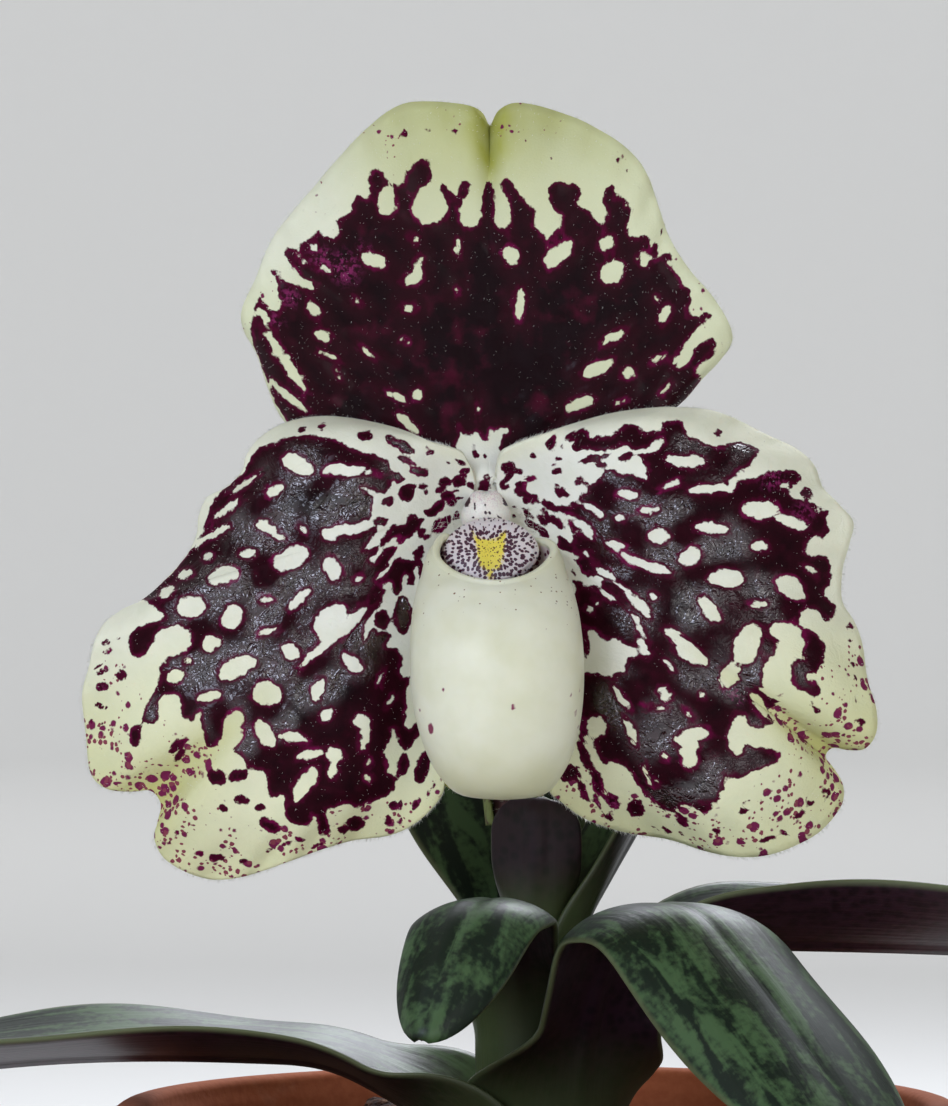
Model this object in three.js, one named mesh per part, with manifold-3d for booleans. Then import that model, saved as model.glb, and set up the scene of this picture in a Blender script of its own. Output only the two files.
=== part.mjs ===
// A slipper orchid (Paphiopedilum) in flower, growing in a plain clay pot.
// Millimetres, +Z up. The origin is the centre of the pot's flat underside, and the bloom faces -Y.
// The plant is one fan of leaves whose sheathing bases nest round a short hairy stem; the stem carries an ovary
// and one bloom: a broad dorsal sepal, a sepal behind the pouch, two wide wavy petals, the pouch and the column.
import * as THREE from "three";
import { mergeVertices } from "three/addons/utils/BufferGeometryUtils.js";
import Module from "manifold-3d";

const wasm = await Module();
wasm.setup();

// ---------------------------------------------------------------- driving dimensions

const GAP = 0.35; // clearance between touching pieces

const POT_HEIGHT = 75;
const POT_FOOT_RADIUS = 30;
const POT_RIM_RADIUS = 45;
const POT_COLLAR_HEIGHT = 18;
const POT_WALL = 5;
const POT_FLOOR = 6;
const DRAIN_HOLES = 3;
const DRAIN_HOLE_RADIUS = 3.5;
const DRAIN_CIRCLE_RADIUS = 15;
const POT_SIDES = 40;

const BARK_TOP = POT_HEIGHT - 6; // level of the bark mix in the pot
const BARK_CHIPS = 50;
const CROWN_FOOT = BARK_TOP - 6; // height at which the leaf bases and the stem stand on the rootstock
const CROWN_HOLE_RADIUS = 11.5;
const ROOT_COUNT = 5;
const ROOT_RADIUS = 1.6;

const STEM_RADIUS = 1.9;
const OVARY_RADIUS = 2.5;
const SHEATH_INNER_RADIUS = 2.65; // middle of the innermost leaf's sheath
const SHEATH_STEP = 1.15; // each older sheath lies this much further out
const SHEATH_WRAP = 1.72; // half the angle that a sheath wraps round the crown, in radians
const LEAF_THICKNESS = 1.0;
const SHEATH_THICKNESS = 0.8;

const BLOOM = new THREE.Vector3(-5, -22, 135); // middle of the column: the bloom's own origin
const PETAL_THICKNESS = 0.8;
const POUCH_WALL = 0.9;

// ---------------------------------------------------------------- materials

const finish = (color, roughness) => new THREE.MeshStandardMaterial({ color, roughness, metalness: 0 });
const CLAY = finish("#b5623c", 0.9);
const BARK = finish("#5a3a24", 0.95);
const ROOT = finish("#9a8560", 0.9);
const LEAF_GREEN = finish("#4f7546", 0.45);
const STEM_PURPLE = finish("#4a2a30", 0.7);
const BRACT_GREEN = finish("#7f8f4e", 0.65);
const SPOTTED_PETAL = finish("#5a1230", 0.4);
const CREAM_POUCH = finish("#e9ead2", 0.35);
const CREAM_SEPAL = finish("#dfe0b8", 0.5);
const SPOTTED_SHIELD = finish("#c9aebb", 0.4);
const ANTHER_YELLOW = finish("#d9b23c", 0.6);

// ---------------------------------------------------------------- helpers

const smooth = (low, high, x) => THREE.MathUtils.smoothstep(x, low, high);
const lerp = THREE.MathUtils.lerp;
const bell = (x, width) => Math.exp(-((x / width) ** 2));

// A repeatable random number from 0 to 1 (mulberry32).
function seeded(seed) {
  let state = seed;
  return () => {
    state = (state + 0x6d2b79f5) | 0;
    let t = Math.imul(state ^ (state >>> 15), 1 | state);
    t = (t + Math.imul(t ^ (t >>> 7), 61 | t)) ^ t;
    return ((t ^ (t >>> 14)) >>> 0) / 4294967296;
  };
}

function geometryOf(points, triangles) {
  return new THREE.BufferGeometry()
    .setAttribute("position", new THREE.Float32BufferAttribute(points.flatMap((p) => [p.x, p.y, p.z]), 3))
    .setIndex(triangles);
}

function solidOf(geometry) {
  const bare = geometry.index ? geometry.toNonIndexed() : geometry.clone();
  bare.deleteAttribute("normal");
  bare.deleteAttribute("uv");
  const merged = mergeVertices(bare, 1e-3);
  return new wasm.Manifold(
    new wasm.Mesh({
      numProp: 3,
      vertProperties: merged.attributes.position.array,
      triVerts: new Uint32Array(merged.index.array),
    }),
  );
}

function geometryFrom(solid) {
  const mesh = solid.getMesh();
  return new THREE.BufferGeometry()
    .setAttribute("position", new THREE.Float32BufferAttribute(mesh.vertProperties, 3))
    .setIndex(new THREE.BufferAttribute(mesh.triVerts, 1));
}

// A thin closed blade round the surface pointAt(u, v), u and v from 0 to 1. Both faces are split into the same
// triangles. thicknessAt(u, v) is the full thickness there.
function blade(pointAt, rows, columns, thicknessAt) {
  const middle = [];
  for (let i = 0; i <= rows; i++)
    for (let j = 0; j <= columns; j++) middle.push(pointAt(i / rows, j / columns));
  const at = (i, j) => i * (columns + 1) + j;
  const front = [];
  const back = [];
  for (let i = 0; i <= rows; i++)
    for (let j = 0; j <= columns; j++) {
      const along = middle[at(Math.min(i + 1, rows), j)].clone().sub(middle[at(Math.max(i - 1, 0), j)]);
      const across = middle[at(i, Math.min(j + 1, columns))].clone().sub(middle[at(i, Math.max(j - 1, 0))]);
      const normal = along.cross(across).normalize();
      const half = thicknessAt(i / rows, j / columns) / 2;
      front.push(middle[at(i, j)].clone().addScaledVector(normal, half));
      back.push(middle[at(i, j)].clone().addScaledVector(normal, -half));
    }
  const points = [...front, ...back];
  const under = front.length;
  const triangles = [];
  for (let i = 0; i < rows; i++)
    for (let j = 0; j < columns; j++) {
      const [a, b, c, d] = [at(i, j), at(i + 1, j), at(i + 1, j + 1), at(i, j + 1)];
      triangles.push(a, b, c, a, c, d);
      triangles.push(under + a, under + c, under + b, under + a, under + d, under + c);
    }
  const rim = [];
  for (let j = 0; j < columns; j++) rim.push(at(0, j));
  for (let i = 0; i < rows; i++) rim.push(at(i, columns));
  for (let j = columns; j > 0; j--) rim.push(at(rows, j));
  for (let i = rows; i > 0; i--) rim.push(at(i, 0));
  rim.forEach((a, k) => {
    const b = rim[(k + 1) % rim.length];
    triangles.push(a, b, under + a, b, under + b, under + a);
  });
  return outward(geometryOf(points, triangles));
}

// The same geometry with its faces pointing out.
function outward(geometry) {
  if (solidOf(geometry).volume() > 0) return geometry;
  const index = geometry.index.array;
  for (let i = 0; i < index.length; i += 3) [index[i + 1], index[i + 2]] = [index[i + 2], index[i + 1]];
  return geometry;
}

// A closed surface of rings: ringAt(k) gives one ring's points, and the first and last rings are single points.
function ringed(rings) {
  const points = [];
  const starts = rings.map((ring) => {
    points.push(...ring);
    return points.length - ring.length;
  });
  const triangles = [];
  for (let k = 0; k + 1 < rings.length; k++) {
    const [low, high] = [rings[k], rings[k + 1]];
    const sides = Math.max(low.length, high.length);
    for (let j = 0; j < sides; j++) {
      const next = (j + 1) % sides;
      const a = starts[k] + (low.length === 1 ? 0 : j);
      const b = starts[k] + (low.length === 1 ? 0 : next);
      const c = starts[k + 1] + (high.length === 1 ? 0 : j);
      const d = starts[k + 1] + (high.length === 1 ? 0 : next);
      if (a !== b) triangles.push(a, b, c);
      if (c !== d) triangles.push(b, d, c);
    }
  }
  return outward(geometryOf(points, triangles));
}

// A solid stalk along a curve. radiusAt(u, angle) is its radius; its ends are flat.
function stalk(curve, steps, sides, radiusAt) {
  const frames = curve.computeFrenetFrames(steps, false);
  const rings = [];
  for (let i = 0; i <= steps; i++) {
    const centre = curve.getPointAt(i / steps);
    const ring = [];
    for (let j = 0; j < sides; j++) {
      const angle = (2 * Math.PI * j) / sides;
      const radius = radiusAt(i / steps, angle);
      ring.push(
        centre
          .clone()
          .addScaledVector(frames.normals[i], radius * Math.cos(angle))
          .addScaledVector(frames.binormals[i], radius * Math.sin(angle)),
      );
    }
    rings.push(ring);
  }
  return ringed([[curve.getPointAt(0)], ...rings, [curve.getPointAt(1)]]);
}

const curveThrough = (points) => new THREE.CatmullRomCurve3(points.map((p) => new THREE.Vector3(...p)));
const outlineThrough = (points) => new THREE.SplineCurve(points.map((p) => new THREE.Vector2(...p)));

const plant = new THREE.Group();

function add(parent, name, geometry, material) {
  const mesh = new THREE.Mesh(geometry, material);
  mesh.name = name;
  parent.add(mesh);
  return mesh;
}

// ---------------------------------------------------------------- clay pot

function lathe(profile, sides) {
  return new THREE.LatheGeometry(
    profile.map(([radius, height]) => new THREE.Vector2(radius, height)),
    sides,
  ).rotateX(Math.PI / 2);
}

const collarFoot = POT_HEIGHT - POT_COLLAR_HEIGHT;
const wallRadiusUnderCollar = POT_RIM_RADIUS - 4.5;
const innerRimRadius = POT_RIM_RADIUS - POT_WALL;

function clayPot() {
  const body = solidOf(
    lathe(
      [
        [0, 0],
        [POT_FOOT_RADIUS - 1.5, 0],
        [POT_FOOT_RADIUS, 1.5],
        [wallRadiusUnderCollar, collarFoot],
        [POT_RIM_RADIUS - 1.2, collarFoot + 0.8],
        [POT_RIM_RADIUS, POT_HEIGHT - 1.5],
        [POT_RIM_RADIUS - 1.2, POT_HEIGHT],
        [innerRimRadius + 1, POT_HEIGHT],
        [innerRimRadius, POT_HEIGHT - 1.2],
        [wallRadiusUnderCollar - POT_WALL + 2, collarFoot],
        [POT_FOOT_RADIUS - 2, POT_FLOOR + 3],
        [POT_FOOT_RADIUS - 5, POT_FLOOR],
        [0, POT_FLOOR],
      ],
      POT_SIDES,
    ),
  );
  let pot = body;
  for (let k = 0; k < DRAIN_HOLES; k++) {
    const angle = (2 * Math.PI * (k + 0.5)) / DRAIN_HOLES;
    const hole = new THREE.CylinderGeometry(DRAIN_HOLE_RADIUS, DRAIN_HOLE_RADIUS, 3 * POT_FLOOR, 16)
      .rotateX(Math.PI / 2)
      .translate(DRAIN_CIRCLE_RADIUS * Math.cos(angle), DRAIN_CIRCLE_RADIUS * Math.sin(angle), 0);
    pot = pot.subtract(solidOf(hole));
  }
  return geometryFrom(pot);
}

// ---------------------------------------------------------------- roots and bark

// The short rootstock under the leaf bases. grow widens it, for the hole that it stands in.
function rootstock(grow) {
  const top = CROWN_FOOT - GAP;
  const stock = lathe(
    [
      [0, top - 13 - grow],
      [4 + grow, top - 12 - grow],
      [6.5 + grow, top - 7],
      [9.2 + grow, top - 1.5],
      [9.2 + grow, top + 4 * grow],
      [0, top + 4 * grow],
    ],
    16,
  );
  let solid = solidOf(outward(mergeVertices(bareOf(stock), 1e-3)));
  for (let k = 0; k < ROOT_COUNT; k++) {
    const turn = (2 * Math.PI * k) / ROOT_COUNT + 0.4;
    const reach = 19 + 4 * Math.cos(2.3 * k);
    const depth = 36 + 9 * Math.sin(1.7 * k + 1);
    const place = (out, swing, down) => [
      out * Math.cos(turn + swing),
      out * Math.sin(turn + swing),
      top - down,
    ];
    const path = curveThrough([
      place(2, 0, 6),
      place(9, 0.1, 9),
      place(reach * 0.8, 0.25, 15),
      place(reach, 0.1, depth * 0.6),
      place(reach * 0.85, -0.15, depth),
    ]);
    const root = stalk(path, 8, 6, (u) => ROOT_RADIUS * (1 - 0.35 * smooth(0.8, 1, u)) + grow);
    const tip = new THREE.IcosahedronGeometry(0.8 * ROOT_RADIUS + grow).translate(...path.getPoint(1).toArray());
    solid = solid.add(solidOf(root)).add(solidOf(tip));
  }
  return geometryFrom(solid);
}

function bareOf(geometry) {
  const bare = geometry.toNonIndexed();
  bare.deleteAttribute("normal");
  bare.deleteAttribute("uv");
  return bare;
}

// Orchid bark: a fill of the pot with chunky chips lying all over its top.
function barkMix() {
  const fit = GAP;
  const inside = (extra) => [
    [0, POT_FLOOR + fit],
    [POT_FOOT_RADIUS - 5 - fit, POT_FLOOR + fit],
    [POT_FOOT_RADIUS - 2 - fit, POT_FLOOR + 3],
    [wallRadiusUnderCollar - POT_WALL + 2 - fit, collarFoot],
    [innerRimRadius - 1 - fit, BARK_TOP + extra],
    [0, BARK_TOP + extra],
  ];
  let mix = solidOf(lathe(inside(-1), POT_SIDES));
  const room = solidOf(lathe(inside(4), POT_SIDES));
  const random = seeded(7);
  const golden = Math.PI * (3 - Math.sqrt(5));
  for (let k = 0; k < BARK_CHIPS; k++) {
    const out = lerp(CROWN_HOLE_RADIUS + 1, innerRimRadius - 3, Math.sqrt((k + 0.5) / BARK_CHIPS));
    const angle = k * golden;
    const chip = new THREE.BoxGeometry(10 + 3 * random(), 7 + 2 * random(), 4.5);
    const corners = chip.attributes.position;
    const jitter = new Map();
    for (let i = 0; i < corners.count; i++) {
      const key = [corners.getX(i), corners.getY(i), corners.getZ(i)].map(Math.sign).join();
      if (!jitter.has(key)) jitter.set(key, [random() - 0.5, random() - 0.5, random() - 0.5]);
      const [x, y, z] = jitter.get(key);
      corners.setXYZ(i, corners.getX(i) + 3 * x, corners.getY(i) + 3 * y, corners.getZ(i) + 1.6 * z);
    }
    chip.rotateX(0.7 * (random() - 0.5));
    chip.rotateY(0.7 * (random() - 0.5));
    chip.rotateZ(2 * Math.PI * random());
    chip.translate(out * Math.cos(angle), out * Math.sin(angle), BARK_TOP - 1.3 + random());
    mix = mix.add(solidOf(chip));
  }
  const crownHole = new THREE.CylinderGeometry(CROWN_HOLE_RADIUS, CROWN_HOLE_RADIUS, 30, 24)
    .rotateX(Math.PI / 2)
    .translate(0, 0, CROWN_FOOT - 1 + 15);
  const cut = mix.intersect(room).subtract(solidOf(crownHole)).subtract(solidOf(rootstock(GAP))).simplify(0.02);
  const largest = cut.decompose().reduce((a, b) => (a.volume() > b.volume() ? a : b));
  return geometryFrom(largest);
}

// ---------------------------------------------------------------- leaves

// Each leaf grows up out of its sheath along a middle rib. The innermost comes first.
// turn: the side that it faces, in degrees. Lengths are along the rib from the sheath's foot: the sheath ends at
// "sheath" and has unfolded into the blade after "opening" more, where the blade is twice "neck" wide.
// headings: [length, degrees from upright]. lean: degrees that the rib bends sideways in the blade's own plane.
// roll: degrees that the blade turns about its rib. folds: the blade's slope to either side, in degrees, at the
// rib and at the margins.
const LEAVES = [
  {
    name: "leaf_heart", turn: -95, length: 43.5, neck: 4.6, width: 9.8, sheath: 29, opening: 9, tipFrom: 0.72,
    headings: [[0, 0], [28, 1], [43.5, 5]], lean: 0, roll: 0, folds: [4, 30],
  },
  {
    name: "leaf_right_upright", turn: 14, length: 66, neck: 3.6, width: 15, sheath: 25, opening: 18, tipFrom: 0.5,
    headings: [[0, 0], [24, 1], [34, 28], [50, 32], [66, 50]], lean: 0, roll: 0, folds: [10, 34],
  },
  {
    name: "leaf_left_upright", turn: 86, length: 76, neck: 4.2, width: 20, sheath: 15, opening: 14, tipFrom: 0.5,
    headings: [[0, 0], [14, 2], [30, 18], [56, 26], [76, 50]], lean: 23, roll: 0, folds: [10, 26],
  },
  {
    name: "leaf_left_front", turn: 256, length: 60, neck: 4.4, width: 14.5, sheath: 18, opening: 12, tipFrom: 0.45,
    headings: [[0, 0], [17, 1], [31, 36], [39, 90], [48, 136], [60, 152]], lean: -9, roll: 0, folds: [2, -50],
  },
  {
    name: "leaf_right", turn: 2, length: 112, neck: 11.5, width: 28, sheath: 8, opening: 24, tipFrom: 0.5,
    headings: [[0, 0], [13, 3], [26, 46], [37, 91], [70, 93], [112, 122]], lean: 0, roll: -3, folds: [14, 39],
  },
  {
    name: "leaf_right_front", turn: -62, length: 90, neck: 7.4, width: 23.5, sheath: 8, opening: 14, tipFrom: 0.5,
    headings: [[0, 0], [8, 1], [27, 28], [41, 88], [52, 124], [90, 132]], lean: 4, roll: 0, folds: [4, -42],
  },
  {
    name: "leaf_left", turn: 176, length: 108, neck: 12, width: 31, sheath: 3, opening: 16, tipFrom: 0.5,
    headings: [[0, 0], [3, 4], [15, 58], [28, 88], [70, 98], [108, 118]], lean: 4, roll: 0, folds: [8, 18],
  },
];

const RIB_STEPS = 200;
const LEAF_ROWS = 16;
const LEAF_COLUMNS = 6;

// The rib at RIB_STEPS equal lengths: its points, and there the directions across the blade and up from it.
function ribOf(leaf, sheathRadius) {
  const headingAt = (length) => {
    const k = Math.max(1, leaf.headings.findIndex(([end]) => end >= length));
    const [[l0, h0], [l1, h1]] = [leaf.headings[k - 1], leaf.headings[k]];
    return THREE.MathUtils.degToRad(lerp(h0, h1, smooth(l0, l1, length)));
  };
  const point = new THREE.Vector3(sheathRadius, 0, 0);
  return Array.from({ length: RIB_STEPS + 1 }, (_, i) => {
    const length = (leaf.length * i) / RIB_STEPS;
    const heading = headingAt(length);
    const lean = THREE.MathUtils.degToRad(leaf.lean) * smooth(leaf.sheath, leaf.sheath + 30, length);
    const roll = THREE.MathUtils.degToRad(leaf.roll) * smooth(leaf.sheath, leaf.sheath + 30, length);
    const rise = new THREE.Vector3(Math.sin(heading), 0, Math.cos(heading));
    const side = new THREE.Vector3(0, 1, 0);
    const forward = rise.clone().multiplyScalar(Math.cos(lean)).addScaledVector(side, Math.sin(lean));
    const across = side.multiplyScalar(Math.cos(lean)).addScaledVector(rise, -Math.sin(lean));
    const up = forward.clone().cross(across);
    const frame = {
      point: point.clone(),
      across: across.clone().multiplyScalar(Math.cos(roll)).addScaledVector(up, Math.sin(roll)),
      up: up.clone().multiplyScalar(Math.cos(roll)).addScaledVector(across, -Math.sin(roll)),
    };
    point.addScaledVector(forward, leaf.length / RIB_STEPS);
    return frame;
  });
}

// Each half of the leaf is a curve whose slope changes evenly from the rib to the margin: a part of a circle
// round the crown in the sheath, and the slopes of "folds" in the blade.
function leafGeometry(leaf, order) {
  const sheathRadius = SHEATH_INNER_RADIUS + SHEATH_STEP * order;
  const frames = ribOf(leaf, sheathRadius);
  const lengthAt = (u) => leaf.length * u ** 1.15;
  const openAt = (length) => smooth(leaf.sheath, leaf.sheath + leaf.opening, length);
  const pointAt = (u, v) => {
    const length = lengthAt(u);
    const open = openAt(length);
    const share = (length - leaf.sheath) / (leaf.length - leaf.sheath);
    const narrowing = Math.max(0, (share - leaf.tipFrom) / (1 - leaf.tipFrom)) ** 2.4;
    const base = lerp(SHEATH_WRAP * sheathRadius, leaf.neck, open);
    const body = lerp(base, leaf.width / 2, smooth(0.1, 0.5, share));
    const halfWidth = Math.max(1.1, body * Math.sqrt(Math.max(0, 1 - narrowing)));
    const slopeAtRib = THREE.MathUtils.degToRad(leaf.folds[0]) * open;
    const slopeAtMargin = lerp(SHEATH_WRAP, THREE.MathUtils.degToRad(leaf.folds[1]), open);
    const bend = (slopeAtMargin - slopeAtRib) / halfWidth;
    const a = Math.abs(2 * v - 1) * halfWidth;
    const slope = slopeAtRib + bend * a;
    const sideways = (Math.sin(slope) - Math.sin(slopeAtRib)) / bend;
    const upwards = (Math.cos(slopeAtRib) - Math.cos(slope)) / bend;
    const ripple = 0.6 * open * Math.sin(0.17 * length + 2 * v) * (2 * v - 1) ** 2;
    const frame = frames[Math.round((length / leaf.length) * RIB_STEPS)];
    return frame.point
      .clone()
      .addScaledVector(frame.across, Math.sign(2 * v - 1) * sideways)
      .addScaledVector(frame.up, upwards + ripple);
  };
  const thicknessAt = (u, v) => {
    const body = lerp(SHEATH_THICKNESS, LEAF_THICKNESS, openAt(lengthAt(u)));
    return body * (1 - 0.25 * Math.abs(2 * v - 1) ** 3);
  };
  return blade(pointAt, LEAF_ROWS, LEAF_COLUMNS, thicknessAt);
}

// ---------------------------------------------------------------- stem, ovary and bract

const bractFoot = new THREE.Vector3(-2.2, 3.6, 103);
const stemCurve = curveThrough([
  [0, 0, CROWN_FOOT],
  [0, 0.1, CROWN_FOOT + 14],
  [-0.4, 1.0, CROWN_FOOT + 28],
  bractFoot.toArray(),
]);
const ovaryEnd = BLOOM.clone().add(new THREE.Vector3(0, 4.45, 0.8));
const ovaryCurve = curveThrough([
  [bractFoot.x - 0.05, bractFoot.y + 0.1, bractFoot.z + 0.55],
  [-3, 4.3, 112],
  [-4, 2.2, 122],
  [-4.7, -4.2, 131],
  [-5, -11, 135],
  ovaryEnd.toArray(),
]);

// Three double ribs run along the ovary.
function ovaryRadius(u, angle) {
  const swell = lerp(0.8, 1, smooth(0, 0.4, u)) * lerp(1, 0.86, smooth(0.75, 1, u));
  return OVARY_RADIUS * swell * (1 + 0.07 * Math.cos(6 * angle));
}

// The bract is a small pointed leaf folded round the foot of the ovary.
function bractGeometry() {
  const length = 15;
  const halfWrap = 2.2;
  return blade(
    (u, v) => {
      const along = u * 0.42;
      const centre = ovaryCurve.getPointAt(along);
      const forward = ovaryCurve.getTangentAt(along);
      const back = new THREE.Vector3(0, 1, 0).addScaledVector(forward, -forward.y).normalize();
      const side = forward.clone().cross(back);
      const flare = 0.8 * OVARY_RADIUS + 0.87 + 1.9 * u * u;
      const angle = (2 * v - 1) * halfWrap * (1 - 0.93 * u ** 1.6);
      return centre
        .addScaledVector(back, flare * Math.cos(angle))
        .addScaledVector(side, flare * Math.sin(angle))
        .addScaledVector(forward, (length / 15) * 1.5 * u);
    },
    9,
    8,
    () => 0.7,
  );
}

// ---------------------------------------------------------------- the bloom's petals and sepals

// Every outline is the front view of the part in the bloom's own frame, [right, up] in millimetres from the
// column. It starts beside the claw, where the part is attached, and goes round to the claw's other side.
const DORSAL_CLAW = [[-2.3, 3.5], [2.1, 3.5]];
const DORSAL_OUTLINE = [
  [-2.6, 4.6], [-7.5, 4.9], [-14, 6.5], [-18.6, 8.4], [-20.9, 10.2], [-22.4, 13.4], [-23.4, 16.6],
  [-24.7, 19], [-24.9, 21.2], [-23.4, 24.4], [-22.3, 27.2], [-20.6, 29.9], [-16.4, 34.8], [-13.4, 38.1],
  [-10.8, 40.5], [-8.4, 41.8], [-5.4, 41.9], [-2.6, 41.6], [-0.9, 40.9], [0, 39.6], [0.9, 41], [2.6, 41.8],
  [5.6, 41.3], [9, 40.1], [12.2, 38.3], [14.4, 36.5], [15.9, 34.2], [17, 31], [18.2, 27.9], [20.2, 24.9],
  [22.6, 22.1], [24.3, 19], [24, 17.2], [22, 15], [19.6, 12.3], [15, 8.8], [8, 5.9], [2.6, 4.6],
];

const LEFT_CLAW = [[-3.35, 3.4], [-3.35, -1.0]];
const LEFT_OUTLINE = [
  [-3.5, 6.2], [-6.2, 7.7], [-10, 9.2], [-14, 10.1], [-17.6, 10.3], [-20.7, 9.6], [-23, 8.2], [-24.3, 6.5],
  [-24.8, 4.9], [-26.4, 3.2], [-28.3, 2.3], [-29.2, 0.4], [-29.4, -1.4], [-30.6, -3.8], [-33, -6.5],
  [-35.4, -8.5], [-37.9, -9.7], [-39.3, -11.6], [-40.2, -14.8], [-40.9, -17.8], [-40.5, -21.8],
  [-40.1, -25.2], [-38.6, -26.8], [-36, -27.2], [-34, -27.1], [-33, -28.4], [-33.3, -30.4], [-33.6, -32],
  [-32.6, -34], [-30, -35.5], [-27.2, -36.1], [-23.6, -35.4], [-19, -33.7], [-14.5, -32.2], [-10, -31.5],
  [-7.2, -30.1], [-4.9, -27.6], [-4.6, -25.4], [-5.6, -20], [-6, -14], [-4.8, -7], [-3.4, -2.2],
];

const RIGHT_CLAW = [[2.6, 3.4], [2.6, -1.0]];
const RIGHT_OUTLINE = [
  [2.2, 6.2], [4.6, 8.1], [8.4, 9.5], [12, 10.5], [16, 11.1], [20.4, 11.2], [24, 10.4], [27.2, 8.8],
  [30.6, 7.2], [32.5, 5.4], [33.3, 3.2], [34.9, 1.5], [36.3, -0.2], [35.9, -2.4], [35.3, -5], [35.3, -8],
  [36.6, -10.3], [37.4, -12.8], [37.8, -16.2], [38.6, -18.8], [38.6, -21.2], [37.6, -22.8], [36, -23],
  [34.4, -22.8], [33.7, -23.8], [34.7, -25.2], [35.5, -27], [35.1, -29], [32.8, -31.4], [29.2, -33.1],
  [25.4, -33.7], [21.6, -33.1], [18, -32], [14, -31.4], [10, -30.1], [7.2, -28.2], [5.8, -26.4], [6.4, -21],
  [6.9, -15], [5.4, -7], [3.3, -2.2],
];

const LOWER_CLAW = [[1.3, -1.1], [-2.1, -1.1]];
const LOWER_OUTLINE = [
  [3.2, -4.2], [5.8, -9], [7, -15], [6.9, -21], [6.2, -25.2], [4.8, -27.3], [2.4, -26.9], [0.4, -26.7],
  [-1.8, -26.7], [-4, -26.9], [-5.4, -25], [-6.4, -20], [-6.4, -14], [-5, -8.5], [-2.8, -4.2],
];

// The dorsal sepal leans forward towards its top, cups at its sides, rolls back at its rim, and is creased
// down the middle from the notch at its tip.
function dorsalDepth(x, z, s) {
  const lean = 4.6 * smooth(13, 42, z);
  const cup = 2.2 * (x / 24) ** 2 * smooth(12, 24, z);
  const crease = -1.7 * bell(x, 1.1) * smooth(24, 40, z);
  const roll = -1.9 * smooth(0.82, 1, s) ** 2;
  const seat = 1.4 * bell(z - 4, 2);
  return -3.7 + seat + lean + cup + crease + roll + 0.5 * Math.sin(0.42 * x + 0.2 * z) * smooth(0.3, 0.9, s);
}

// A petal swells forward between its claw and its rim, rolls back along the rim, ripples round it, and is
// pinched where the rim is notched. t runs round the outline from the upper side to the lower.
function petalDepth(x, z, s, t, notchAt, ripples, phase) {
  const beyondPouch = smooth(4.5, 14, Math.abs(x));
  const seat = lerp(-1.6, 1.5, smooth(0, 0.25, s));
  const swell = 3.6 * beyondPouch * Math.sin(Math.PI * Math.min(1, s) ** 0.9);
  const rollBack = -2.6 * beyondPouch * smooth(0.74, 1, s) ** 2 * (1 - smooth(0.7, 0.9, t));
  const ripple = 1.5 * beyondPouch * s ** 4 * Math.sin(2 * Math.PI * ripples * t + phase);
  const pinch = -3.4 * bell(t - notchAt, 0.035) * smooth(0.45, 1, s);
  return seat + swell + rollBack + ripple + pinch;
}

const leftDepth = (x, z, s, t) => petalDepth(x, z, s, t, 0.585, 6, 0.4);
const rightDepth = (x, z, s, t) => petalDepth(x, z, s, t, 0.565, 6, 2.2);

// The sepal behind the pouch hangs straight and cups forward a little at its foot.
function lowerDepth(x, z) {
  return -3.05 + 2.35 * smooth(3, 12, -z) + 0.006 * x * x;
}

// A petal or sepal: straight lines run from the claw (s = 0) to the outline (s = 1), t along both.
function petalGeometry(claw, outline, depthAt, rows, columns) {
  const rim = outlineThrough(outline);
  rim.arcLengthDivisions = 800;
  const edge = Array.from({ length: columns + 1 }, (_, j) => rim.getPointAt(j / columns));
  return blade(
    (s, t) => {
      const end = edge[Math.round(t * columns)];
      const x = lerp(lerp(claw[0][0], claw[1][0], t), end.x, s);
      const z = lerp(lerp(claw[0][1], claw[1][1], t), end.y, s);
      return new THREE.Vector3(x, -depthAt(x, z, s, t), z);
    },
    rows,
    columns,
    (s) => PETAL_THICKNESS * lerp(1.15, 0.85, s),
  );
}

// ---------------------------------------------------------------- pouch

// Level curves of the pouch from its lowest point to its mouth: [height, half width, how far forward its
// front and its back are, how far its middle lies to the right].
const POUCH_LEVELS = [
  [-27.6, 0, 10, 10, 1.2],
  [-27.1, 4.0, 13.4, 7.2, 1.15],
  [-25.2, 6.0, 16.3, 5.4, 1.0],
  [-22.3, 7.4, 18.4, 4.2, 0.9],
  [-18.4, 8.3, 19.6, 3.5, 0.75],
  [-14, 8.55, 19.7, 3.2, 0.65],
  [-10, 8.3, 18.6, 3.0, 0.55],
  [-7.2, 7.8, 16.2, 2.8, 0.45],
  [-5.4, 7.2, 13.6, 2.6, 0.4],
  [-3.6, 6.75, 11.8, 2.5, 0.35],
  [-2.2, 6.05, 10.8, 2.4, 0.3],
];

const pouchCurves = [1, 2, 3, 4].map(
  (k) => new THREE.SplineCurve(POUCH_LEVELS.map((level) => new THREE.Vector2(level[0], level[k]))),
);

// q is 0 at the lowest point and 1 at the top of the mouth's back; turn is 0 at the front.
function pouchPoint(q, turn, inset) {
  const [width, front, back, shift] = pouchCurves.map((curve) => curve.getPoint(q).y);
  const z = pouchCurves[0].getPoint(q).x;
  const middle = (front + back) / 2;
  const halfDepth = (front - back) / 2;
  const shrink = Math.max(0, width - inset) / Math.max(width, 1e-6);
  return new THREE.Vector3(
    shift + width * shrink * Math.sin(turn),
    -(middle + Math.max(0, halfDepth - inset) * Math.cos(turn)),
    z + inset * (1 - smooth(0, 0.35, q)),
  );
}

// The mouth's rim dips at the front and rises towards the column.
const mouthAt = (turn) => 1 - 0.28 * ((1 + Math.cos(turn)) / 2) ** 2.5;

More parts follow.
